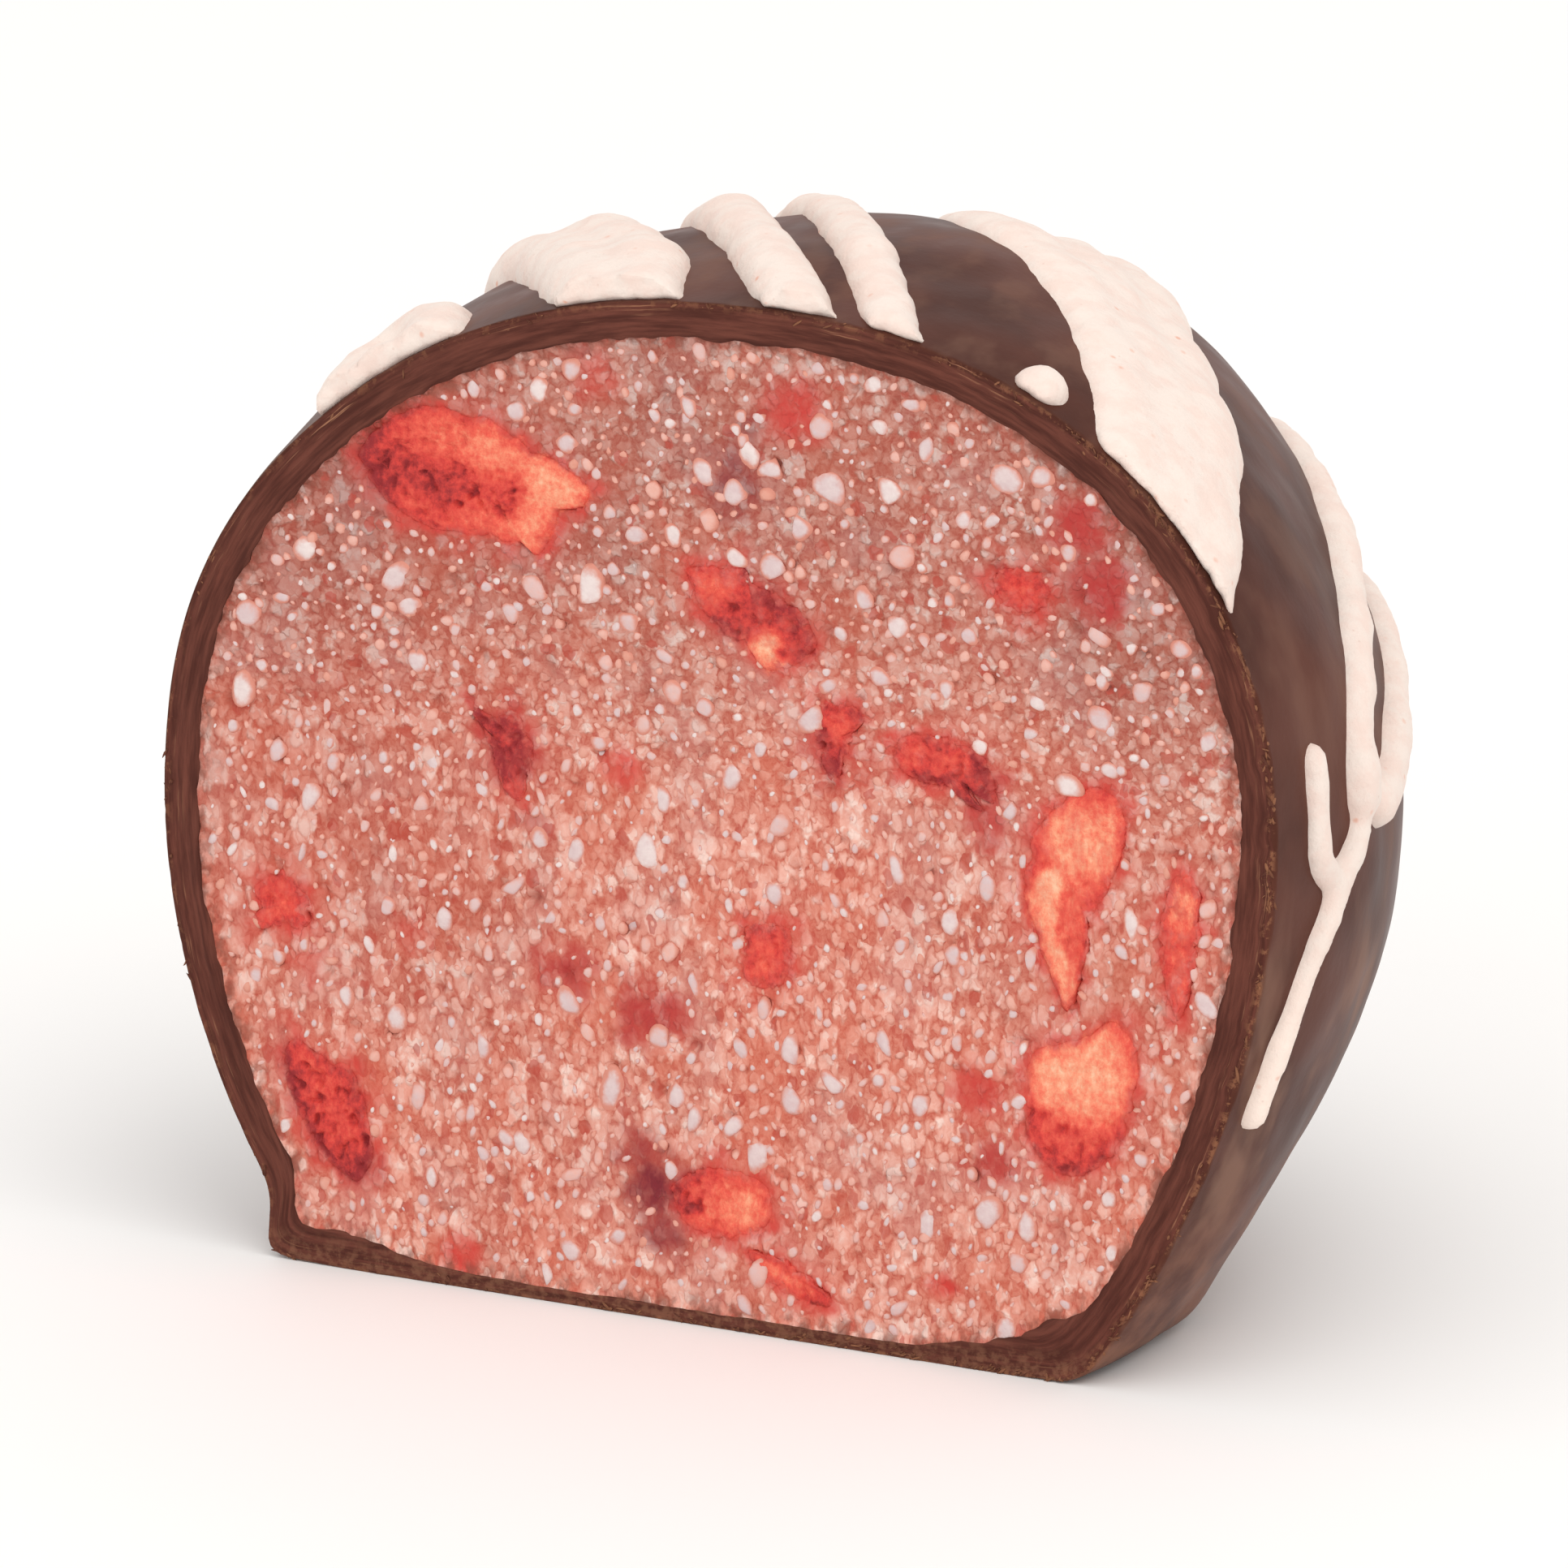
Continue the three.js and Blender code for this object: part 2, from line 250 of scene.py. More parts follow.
def flank_reach(direction):
    up = direction[..., 2]
    level = np.maximum(np.hypot(direction[..., 0], direction[..., 1]), 1e-6)
    power = np.where(up > 0, TOP_SQUARENESS, LOW_SQUARENESS)
    tall = np.where(up > 0, TOP_REACH, LOW_REACH)
    reach = ((level / HALF_WIDTH) ** power + (np.abs(up) / tall) ** power) ** (-1 / power)
    for around, down, spread, out in SWELLS:
        away = np.degrees(np.arccos(np.clip(direction @ facing(around, down), -1, 1)))
        reach = reach + out * np.exp(-1.5 * (away / spread) ** 2)
    around = np.arctan2(direction[..., 1], direction[..., 0])
    height = HEART[2] + reach * up
    ragged = (0.5 - 0.75 * np.cos(around) + 0.22 * np.sin(5 * around + 1)
              + 0.16 * np.sin(11 * around))
    skirt = np.exp(-(((height - SKIRT_MIDDLE) / SKIRT_TALL) ** 2))
    return reach + SKIRT_OUT * np.maximum(ragged, 0) * skirt


def floor_reach(direction, floor):
    down = np.maximum(-direction[..., 2], 1e-3)
    return np.where(direction[..., 2] < -1e-3, (HEART[2] - floor) / down, 1e3)


def coating_reach(direction):
    return soft_min(flank_reach(direction), floor_reach(direction, -FOOT_TRIM), FOOT_ROUNDING)


def paste_reach(direction):
    pool = CORNER_POOL + np.maximum(direction[..., 0], 0) * CORNER_POOL_RIGHT
    return soft_min(flank_reach(direction) - WALL, floor_reach(direction, FLOOR), pool)


def leaning(direction, reach):
    points = HEART + direction * np.asarray(reach)[..., None]
    points[..., 0] += LEAN * (points[..., 2] / LEAN_HEIGHT) ** 2
    return points


def stand(points):
    """Lift points to the foot: flat between its four corners and rising a little outside them."""
    rise = np.zeros(points.shape[:-1])
    for corner, following in zip(FLAT_CORNERS, np.roll(FLAT_CORNERS, -1, axis=0)):
        edge = (following - corner) / np.linalg.norm(following - corner)
        outward = np.array([edge[1], -edge[0]])
        rise = np.maximum(rise, (points[..., :2] - corner) @ outward * FOOT_RISE)
    points[..., 2] = np.maximum(points[..., 2], rise)


print("crown at", leaning(facing(0, 0), coating_reach(facing(0, 0))).round(2))

# %% [markdown]
# ## Meshes that end cleanly at the knife
#
# If the whole ball were modelled and then cut, the cut would slice through faces at random and
# leave a ragged rim. So the grid is laid out from the cut instead. Its columns fan round the cut
# face and its rows run from the rim to a pole at the very back, and the last row lies exactly
# on the plane of the knife.

# %% A grid from the rim to the back
def from_back(turn, beta):
    """Direction `turn` round the cut face from +X, and `beta` away from straight back."""
    return np.stack([np.sin(beta) * np.cos(turn), np.cos(beta), np.sin(beta) * np.sin(turn)], -1)


def rim_angle(turn, reach_of):
    """The beta at which the surface meets the knife, found by repeated correction."""
    beta = np.full_like(turn, 1.8)
    for _ in range(40):
        beta = 0.5 * beta + 0.5 * np.arccos(-HEART[1] / reach_of(from_back(turn, beta)))
    return beta


def dome(turns, rows, reach_of):
    """Points of a surface in rows from near the back pole, closer together towards the rim."""
    turn = np.linspace(0, 2 * np.pi, turns, endpoint=False)
    beta = rim_angle(turn, reach_of)
    share = 1 - (1 - np.arange(1, rows + 1) / rows)[:, None] ** 1.25
    direction = from_back(turn[None, :] + 0 * share, beta[None, :] * share)
    points = leaning(direction, reach_of(direction))
    points[-1, :, 1] = 0
    return points


def bands(first, rows, turns):
    """Faces between neighbouring rows of a ring grid whose points start at index `first`."""
    row, column = np.meshgrid(np.arange(rows - 1), np.arange(turns), indexing="ij")
    here = first + row * turns + column
    beside = first + row * turns + (column + 1) % turns
    return np.stack([here, here + turns, beside + turns, beside], -1).reshape(-1, 4).tolist()


def fan(pole, first, turns, last=False):
    """Triangles from one point to a ring: the grid's first ring, or its last."""
    ring = [(first + k, first + (k + 1) % turns) for k in range(turns)]
    return [(pole, b, a) if last else (pole, a, b) for a, b in ring]


def rumple(points, size, seed=0.0):
    """Smooth noise from about -1 to 1 at each point, with features about `size` mm across."""
    shifted = (np.asarray(points) / size + seed).reshape(-1, 3)
    return np.array([noise.noise(p) for p in shifted.tolist()]).reshape(np.shape(points)[:-1])


rim_here = np.degrees(rim_angle(np.linspace(0, 6, 25), coating_reach))
print("rim lies", rim_here.min().round(), "to", rim_here.max().round(), "degrees from the pole")

# %% From points in millimetres to a piece of the model
def finish_mesh(name, points, faces, replaced, material, marks=None):
    """Mesh object from points in millimetres round the cut face, moved into the frame."""
    mesh = bpy.data.meshes.new(name)
    mesh.from_pydata(((np.asarray(points) + TO_ORIGIN) * MM).tolist(), [], faces)
    mesh.polygons.foreach_set("use_smooth", [True] * len(mesh.polygons))
    for mark, values in (marks or {}).items():
        layer = mesh.attributes.new(mark, "FLOAT", "POINT")
        layer.data.foreach_set("value", np.asarray(values, dtype=np.float32).ravel())
    mesh.materials.append(material)
    piece = bpy.data.objects.new(name, mesh)
    bpy.context.scene.collection.objects.link(piece)
    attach(piece, "root")
    if replaced:
        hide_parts(*replaced)
    triangles = sum(len(face) - 2 for face in faces)
    print(name, len(points), "points,", triangles, "triangles")
    return piece


print("each mesh is moved by", TO_ORIGIN, "mm")

# %% [markdown]
# ## Chocolate, as a finish
#
# Dark chocolate sets with a satin skin: a very dark brown, with soft streaks of pale bloom down
# the flank where its fat has risen. Low on the right flank the streaks are stronger, and near the
# foot the flank is lighter and warmer: both are painted reflection of the pale floor. In a white
# room a strong gloss would turn the whole flank grey, so the gloss is kept low and warm and only
# the roughness drifts a little. There the chocolate is matt and
# redder, dragged into fine lines by the knife, and its crumbs are light brown. The mesh carries
# marks for those places, and one material reads them.

# %% Chocolate material
def position_parts(where):
    """The three coordinates of a place, as numbers."""
    split = where.node("ShaderNodeSeparateXYZ", None, {0: where})
    return [split.beside(axis) for axis in "XYZ"]


def vector(x, y, z):
    """A place made of three numbers."""
    return x.node("ShaderNodeCombineXYZ", None, {0: x, 1: y, 2: z})


chocolate, shader, wire = new_finish("chocolate")
where = place(wire)
x, y, z = position_parts(where)
cut, across, crumbly = painted(wire, "cut"), painted(wire, "across"), painted(wire, "crumbly")

skin = mix(cloud(where, 5.0, 3.0).between(0.35, 0.65), colour(70, 37, 29), colour(92, 53, 43))
bloom = cloud(vector(x * 0.9, y * 0.5, z * 0.12), 1.1, 3.0)
# Bloom all over, and more of it low on the right flank, where it is painted reflection of the pale
# floor.
bloom_and_painted_sheen = 0.18 + x.between(8.0, 15.0) * z.between(17.0, 9.0) * 0.35
skin = mix(bloom.between(0.46, 0.7) * bloom_and_painted_sheen, skin, colour(150, 114, 96))
# Painted reflection of the floor: lighter and warmer patches low on the flank.
floor_reflection = z.between(7.0, 1.0) * cloud(where, 1.2, 4.0, 0.6).between(0.3, 0.7)
skin = mix(floor_reflection * 0.6, skin, colour(146, 99, 78))

drag = cloud(vector(x * 0.5, across * 5.0, z * 0.5), 1.0, 4.0, 0.6)
face = mix(drag.between(0.32, 0.72), colour(76, 41, 35), colour(108, 62, 52))
threads = cloud(vector(x * 0.4, across * 14.0, z * 0.4), 1.0, 3.0, 0.6).between(0.58, 0.68)
threads = threads * across.between(0.75, 0.05) * cloud(where, 1.6, 3.0).between(0.42, 0.6)
face = mix(threads, face, colour(156, 110, 84))
broken = crumbly * cloud(where, 0.35, 4.0, 0.7).between(0.5, 0.6)
worn = z.between(1.2, 0.3) * cloud(where, 0.3, 4.0, 0.65).between(0.42, 0.62)
face = mix(worn * 0.45, face, colour(140, 98, 76))
surface = mix(cut, skin, face)
surface = mix(broken, surface, colour(138, 92, 68))
connect(surface, shader, "Base Color")
connect(0.34 + bloom.between(0.3, 0.8) * 0.14 + cut * 0.2 + crumbly * 0.15, shader, "Roughness")
fine = bump(cloud(where, 0.3, 3.0), 0.006)
connect(bump(drag * cut, 0.04, fine), shader, "Normal")
shader.inputs["Specular IOR Level"].default_value = 0.08
shader.inputs["Specular Tint"].default_value = colour(255, 220, 200)
print("chocolate nodes:", len(chocolate.node_tree.nodes))

# %% [markdown]
# ## The chocolate coating
#
# A dipped coat is about a millimetre thick. It follows the ball, but it is never quite even: it
# has broad shallow dents from the roll, and it gathers at the foot. At the cut the brittle
# chocolate breaks rather than slices, so its outer corner is chipped and its cut face is
# scratched along its length. The shell is modelled whole, with its inner wall, and its chips
# and dents are moved points. Scratches finer than a tenth of a millimetre are left to the bump.

# %% Outer and inner surface
COAT_TURNS, COAT_ROWS, RIM_ROWS, WALL_ROWS = 640, 104, 9, 12
DENT, DENT_SIZE = 0.16, 5.0
PUCKER, PUCKER_SIZE = 0.05, 1.7


def dented(points):
    """Points of the skin, moved in and out by the shallow dents that the roll left."""
    away = points - HEART
    away /= np.linalg.norm(away, axis=-1, keepdims=True)
    depth = (DENT * (rumple(points, DENT_SIZE, 3.0) - 0.5)
             + PUCKER * rumple(points, PUCKER_SIZE, 8.0))
    fade = np.clip((points[..., 2] - 0.4) / 3, 0, 1) * np.clip(points[..., 1] / 3, 0, 1) ** 0.6
    return points + away * (depth * fade)[..., None]


outside = dented(dome(COAT_TURNS, COAT_ROWS, coating_reach))
inside = dome(COAT_TURNS, WALL_ROWS, paste_reach)
stand(outside)
smeared = 0.12 * rumple(inside[-1], 1.1, 5.0) + 0.07 * rumple(inside[-1], 0.35, 6.0)
inside[-1] += (inside[-1] - outside[-1]) * smeared[:, None]
wall_here = np.linalg.norm(inside[-1] - outside[-1], axis=1)
print("coating at the cut:", wall_here.min().round(2), "to", wall_here.max().round(2), "mm thick")

# %% The broken edge and the cut face of the coating
CHIP, CHIP_SIZE, FINE_CHIP_SIZE = 0.16, 0.8, 0.3
EDGE_BEVEL = 0.05
DEEPEST_SCRATCH = 0.2

rim_out, rim_in = outside[-1].copy(), inside[-1].copy()
inward = rim_in - rim_out
thickness = np.linalg.norm(inward, axis=1, keepdims=True)
inward /= thickness
turn = np.linspace(0, 2 * np.pi, COAT_TURNS, endpoint=False)
brittle = np.clip(0.45 + 0.6 * np.cos(turn) - 0.3 * np.sin(turn), 0.25, 1)
chips = np.clip(rumple(rim_out, CHIP_SIZE, 7.0) + 0.6 * rumple(rim_out, FINE_CHIP_SIZE, 9.0), 0, 1)
lifted = np.minimum(rim_out[:, 2] / 0.3, 1)
outside[-1] += inward * (0.01 + CHIP * chips * brittle * lifted)[:, None]
outside[-1, :, 1] = EDGE_BEVEL
outside[-2, :, 1] = np.maximum(outside[-2, :, 1], 2 * EDGE_BEVEL)

share = np.linspace(0, 1, RIM_ROWS)[:, None, None]
rim = (outside[-1] + inward * EDGE_BEVEL) * (1 - share) + rim_in * share
from_edge = thickness[:, 0] * share[..., 0]
dragged = np.stack([rim[..., 0] * 0.25, from_edge * 4.5, rim[..., 2] * 0.25], -1)
scratches = 0.045 + 0.045 * rumple(dragged, 1.0, 2.0) + 0.05 * rumple(rim, 0.7, 5.0)
rim[..., 1] = np.clip(scratches, 0, DEEPEST_SCRATCH)
wall = inside[::-1].copy()
wall[0, :, 1] = rim[-1, :, 1] + 0.02
print("scratches on the cut face:", rim[..., 1].mean().round(3), "mm deep on average")

# %% The whole coating as one piece
poles = []
for reach_of in (coating_reach, paste_reach):
    back = from_back(np.array(0.0), np.array(0.0))
    poles.append(leaning(back, reach_of(back)))

layers = [layer.reshape(-1, 3) for layer in (outside, rim, wall)]
coat_points = np.concatenate(layers + [poles])
coat_rows = COAT_ROWS + RIM_ROWS + WALL_ROWS
coat_faces = bands(0, coat_rows, COAT_TURNS)
coat_faces += fan(len(coat_points) - 2, 0, COAT_TURNS)
coat_faces += fan(len(coat_points) - 1, (coat_rows - 1) * COAT_TURNS, COAT_TURNS, last=True)

marks = {name: np.zeros((coat_rows, COAT_TURNS)) for name in ("cut", "across", "crumbly")}
rim_rows = slice(COAT_ROWS, COAT_ROWS + RIM_ROWS)
marks["cut"][rim_rows] = 1
marks["across"][rim_rows] = from_edge
over_the_edge = np.array([0.1, 0.8, 0.9, 0.3, 0.0])[:, None]
marks["crumbly"][COAT_ROWS - 2:COAT_ROWS + 3] = over_the_edge * (0.3 + 0.7 * brittle)
marks = {name: np.append(values, [0, 0]) for name, values in marks.items()}
finish_mesh("chocolate_coating", coat_points, coat_faces, ["chocolate_shell"],
            chocolate, marks)

# %% [markdown]
# ## The white drizzle
#
# The stripes are white coating that ran from a bag in a zigzag and set where it fell: round
# ropes, half sunk by their own weight, that run together where they touch. Sweeping a tube for
# each rope gives hard seams where two cross. So the tubes are only a start: one voxel remesh
# turns them into a single skin, smoothing lets the skin creep together as the wet drizzle did,
# and the knife plane then trims it.

# %% Drizzle material
drizzle_white, shader, wire = new_finish("drizzle_white")
where = place(wire)
cream = mix(cloud(where, 0.9, 4.0, 0.6).between(0.38, 0.64),
            colour(235, 220, 210), colour(234, 212, 201))
pink = cells(where, 0.8).between(0.16, 0.04) * cloud(where, 2.0).between(0.4, 0.6)
# Painted light: the drizzle is lighter and warmer towards the bottom.
painted_light_low_down = position_parts(where)[2].between(15.0, 8.0)
cream = mix(painted_light_low_down * 0.8, cream, colour(252, 233, 220))
cream = mix(pink * 0.7, cream, colour(224, 150, 118))
fleck = cells(where, 0.37).between(0.14, 0.05) * cloud(where, 1.1).between(0.5, 0.6)
cream = mix(fleck * 0.3, cream, colour(204, 166, 150))
connect(cream, shader, "Base Color")
connect(0.5 + cloud(where, 1.0) * 0.2, shader, "Roughness")
grit = cloud(where, 0.16, 3.0, 0.65)
connect(bump(grit, 0.03, bump(cloud(where, 0.7, 2.0), 0.05)), shader, "Normal")
shader.inputs["Specular IOR Level"].default_value = 0.3
print("drizzle nodes:", len(drizzle_white.node_tree.nodes))

# %% Routes of the ropes
# Half width of each rope and how high it stands, in millimetres, and its route on a map of the
# crown: degrees to the right and degrees to the back. Routes that leave the map's front edge
# run on past the knife, which trims them.
DRIZZLE = [
    (1.15, 0.75, [(-35, -22), (-36, -12), (-39, -5), (-43, -4), (-46, -10), (-47, -22)]),
    (1.2, 0.9, [(-41, -22), (-41, -9)]),
    (1.42, 0.88, [(-15, -22), (-16, -12), (-22, -3), (-29, 7), (-36, 17), (-45, 28), (-57, 38),
                  (-69, 44), (-80, 50), (-86, 56), (-82, 62), (-73, 60), (-60, 52), (-48, 41),
                  (-37, 27), (-26, 12), (-17, 0), (-11, -12), (-9, -22)]),
    (1.08, 0.78, [(11.5, -22), (7.2, -12), (1.2, -4), (-6, 6), (-15, 19), (-25, 34), (-36, 50),
                  (-46, 65), (-55, 78), (-54, 88), (-45, 86), (-37, 72), (-29, 58), (-21, 45)]),
    (0.9, 0.6, [(-27, 55), (-21, 45), (-13, 33), (-4, 21), (4, 9), (11, -1), (18, -12),
                (22.5, -22)]),
    (1.35, 0.45, [(47.5, -20), (45, -10), (39.5, -1), (33, 8), (26, 15), (17, 22), (8, 31),
                  (-1, 45), (-9, 60), (-18, 77), (-25, 92), (-22, 103), (-13, 102), (-8, 90),
                  (-1, 76), (7, 61), (14, 47), (22, 36), (30, 27), (38, 18), (45.5, 9), (52, -2),
                  (57, -11), (58.5, -20)]),
    (1.2, 0.42, [(53, -20), (51, -10), (46, -1), (39.5, 8.5), (32, 16), (23.5, 24.5), (15, 33.5)]),
    (0.85, 0.6, [(87, 8), (82, 8), (77, 10), (72, 15), (66, 24), (56, 34), (44, 45), (32, 58),
                 (22, 72), (14, 87), (8, 99), (10, 109), (19, 108), (26, 96), (33, 83), (41, 71),
                 (50, 60), (58, 51), (66, 43), (73, 35), (79, 27), (84, 19), (86, 11)]),
    (0.48, 0.5, [(86, 9), (90, 2.5), (94, -3.5), (99, -9), (104, -12.7), (109, -15.3),
                 (113, -16.4)]),
    (0.5, 0.45, [(76.5, -5), (80, -6), (84, -6.5), (88, -6), (91, -1)]),
    (0.95, 0.6, [(76, 60), (69, 65), (60, 74), (52, 85), (45, 97), (43, 108)]),
    (0.88, 0.6, [(34, -14), (34, -6.8)]),
]


def smooth_route(corners, spacing):
    """Points every `spacing` along a Catmull-Rom curve through the corners."""
    corners = np.array(corners, float)
    ends = np.vstack([2 * corners[0] - corners[1], corners, 2 * corners[-1] - corners[-2]])
    fine = []
    for a, b, c, d in zip(ends, ends[1:], ends[2:], ends[3:]):
        for t in np.linspace(0, 1, 40, endpoint=False):
            fine.append(0.5 * (2 * b + (c - a) * t + (2 * a - 5 * b + 4 * c - d) * t * t
                               + (3 * b - a - 3 * c + d) * t ** 3))
    fine = np.array(fine + [corners[-1]])
    run = np.concatenate([[0], np.cumsum(np.linalg.norm(np.diff(fine, axis=0), axis=1))])
    steps = np.linspace(0, run[-1], max(4, int(run[-1] / spacing)))
    return np.stack([np.interp(steps, run, fine[:, k]) for k in range(2)], 1)


def on_coating(crown_map):
    """Points on the dented coating at places on the map of the crown."""
    down = np.hypot(crown_map[:, 0], crown_map[:, 1])
    direction = facing(np.degrees(np.arctan2(crown_map[:, 1], crown_map[:, 0])), down)
    return dented(leaning(direction, coating_reach(direction)))


print("ropes:", len(DRIZZLE))

# %% One rope as a closed tube
ROPE_SIDES = 20
ROPE_STEP = 1.1      # degrees of the map between sections
ROPE_SUNK = 0.3      # how far its widest line lies below the coating, over its half width
ROPE_LUMPS, ROPE_LUMP_SIZE = 0.14, 1.5


def rope(half_width, height, corners, seed):
    """Points and faces of one rope, with round ends and an uneven width."""
    route = smooth_route(corners, ROPE_STEP)
    at = on_coating(route)
    out = np.cross(on_coating(route + (0.5, 0)) - at, on_coating(route + (0, 0.5)) - at)
    out /= np.linalg.norm(out, axis=1, keepdims=True)
    side = np.cross(out, np.gradient(at, axis=0))
    side /= np.linalg.norm(side, axis=1, keepdims=True)
    run = np.concatenate([[0], np.cumsum(np.linalg.norm(np.diff(at, axis=0), axis=1))])
    from_end = np.clip(np.minimum(run, run[-1] - run) / half_width, 0, 1)
    rounding = np.sqrt(np.maximum(1 - (1 - from_end) ** 2, 0.02))
    turn = np.linspace(0, 2 * np.pi, ROPE_SIDES, endpoint=False)
    swell = rounding * (1 + ROPE_LUMPS * rumple(at, ROPE_LUMP_SIZE, seed))
    sunk = ROPE_SUNK * half_width
    across = np.cos(turn)[None, :] * (half_width * swell)[:, None]
    up = np.sin(turn)[None, :] * ((height + sunk) * swell)[:, None] - sunk
    points = at[:, None] + side[:, None] * across[..., None] + out[:, None] * up[..., None]
    rows = len(route)
    faces = bands(0, rows, ROPE_SIDES) + fan(rows * ROPE_SIDES, 0, ROPE_SIDES)
    faces += fan(rows * ROPE_SIDES + 1, (rows - 1) * ROPE_SIDES, ROPE_SIDES, last=True)
    ends = at[[0, -1]] - out[[0, -1]] * sunk
    return np.concatenate([points.reshape(-1, 3), ends]), faces


print("shortest rope:", len(rope(*DRIZZLE[1], 11.0)[0]), "points")

# %% Melt the ropes together
FIRST_VOXEL, FIRST_CREEP = 0.19, 6
LAST_VOXEL, LAST_CREEP = 0.17, 1


def melt(parts, voxel, creep):
    """One skin round overlapping closed meshes, in the same millimetres."""
    points, faces = [], []
    for part_points, part_faces in parts:
        start = len(points)
        points += part_points.tolist()
        faces += [[start + i for i in face] for face in part_faces]
    mesh = bpy.data.meshes.new("melt")
    mesh.from_pydata(points, [], faces)
    piece = bpy.data.objects.new("melt", mesh)
    bpy.context.scene.collection.objects.link(piece)
    remesh = piece.modifiers.new("skin", "REMESH")
    remesh.mode, remesh.voxel_size = "VOXEL", voxel
    smooth = piece.modifiers.new("creep", "SMOOTH")
    smooth.factor, smooth.iterations = 0.5, creep
    graph = bpy.context.evaluated_depsgraph_get()
    done = bpy.data.meshes.new_from_object(piece.evaluated_get(graph))
    bpy.data.objects.remove(piece)
    return done


def points_of(mesh, what="vertices", field="co"):
    values = np.empty(len(getattr(mesh, what)) * 3)
    getattr(mesh, what).foreach_get(field, values)
    return values.reshape(-1, 3)


def faces_of(mesh):
    return [tuple(face.vertices) for face in mesh.polygons]


def trim_at_knife(mesh):
    """Cut away what lies in front of the knife plane and close the cut."""
    work = bmesh.new()
    work.from_mesh(mesh)
    everything = work.verts[:] + work.edges[:] + work.faces[:]
    cut_here = bmesh.ops.bisect_plane(work, geom=everything, dist=1e-5, plane_co=(0, 0, 0),
                                      plane_no=(0, -1, 0), clear_outer=True)["geom_cut"]
    edges = [item for item in cut_here if isinstance(item, bmesh.types.BMEdge)]
    bmesh.ops.holes_fill(work, edges=edges)
    bmesh.ops.triangulate(work, faces=[face for face in work.faces if len(face.verts) > 4])
    work.to_mesh(mesh)
    work.free()


ropes = [rope(*row, 11.0 * k) for k, row in enumerate(DRIZZLE)]
soft_mesh = melt(ropes, FIRST_VOXEL, FIRST_CREEP)
trim_at_knife(soft_mesh)
drizzle_mesh = melt([(points_of(soft_mesh), faces_of(soft_mesh))], LAST_VOXEL, LAST_CREEP)
print("melted drizzle:", len(drizzle_mesh.vertices), "points")

# %% Lumps, and the broken ends at the cut
EDGE_STEP = 0.6     # how far the sunk part of a rope stays behind the knife
END_RAGGED = 0.16

skin_points = points_of(drizzle_mesh)
lumps = 0.05 * rumple(skin_points, 0.9, 4.0) + 0.025 * rumple(skin_points, 0.4, 6.0)
skin_points += points_of(drizzle_mesh, "vertex_normals", "vector") * lumps[:, None]
upright = skin_points.copy()
upright[:, 0] -= LEAN * (upright[:, 2] / LEAN_HEIGHT) ** 2
radius = np.linalg.norm(upright - HEART, axis=1)
below_skin = coating_reach((upright - HEART) / radius[:, None]) - radius
near_cut = np.clip(1 - skin_points[:, 1] / 0.8, 0, 1)
behind_rim = EDGE_STEP * np.clip((below_skin + 0.2) / 0.5, 0, 1) * near_cut
ragged = END_RAGGED * np.clip(rumple(skin_points, 0.5, 3.0) + 0.2, 0, 1) * near_cut
skin_points[:, 1] = np.maximum(skin_points[:, 1], 0.01) + behind_rim + ragged
finish_mesh("white_drizzle", skin_points, faces_of(drizzle_mesh),
            ["chocolate_shell"], drizzle_white)

# %% [markdown]
# ## Strawberry on the cut
#
# The knife went through fourteen larger pieces of dried strawberry. Each is a spongy lump: pale
# orange in its heart, red towards its skin, with fine fibres and dark pores. Some lie clean on
# the cut and others under a veil of paste. The outline of a piece is kept as a few corners,
# because two things need it: the piece itself, and the paste, which has to leave room for it
# and is stained red around it.

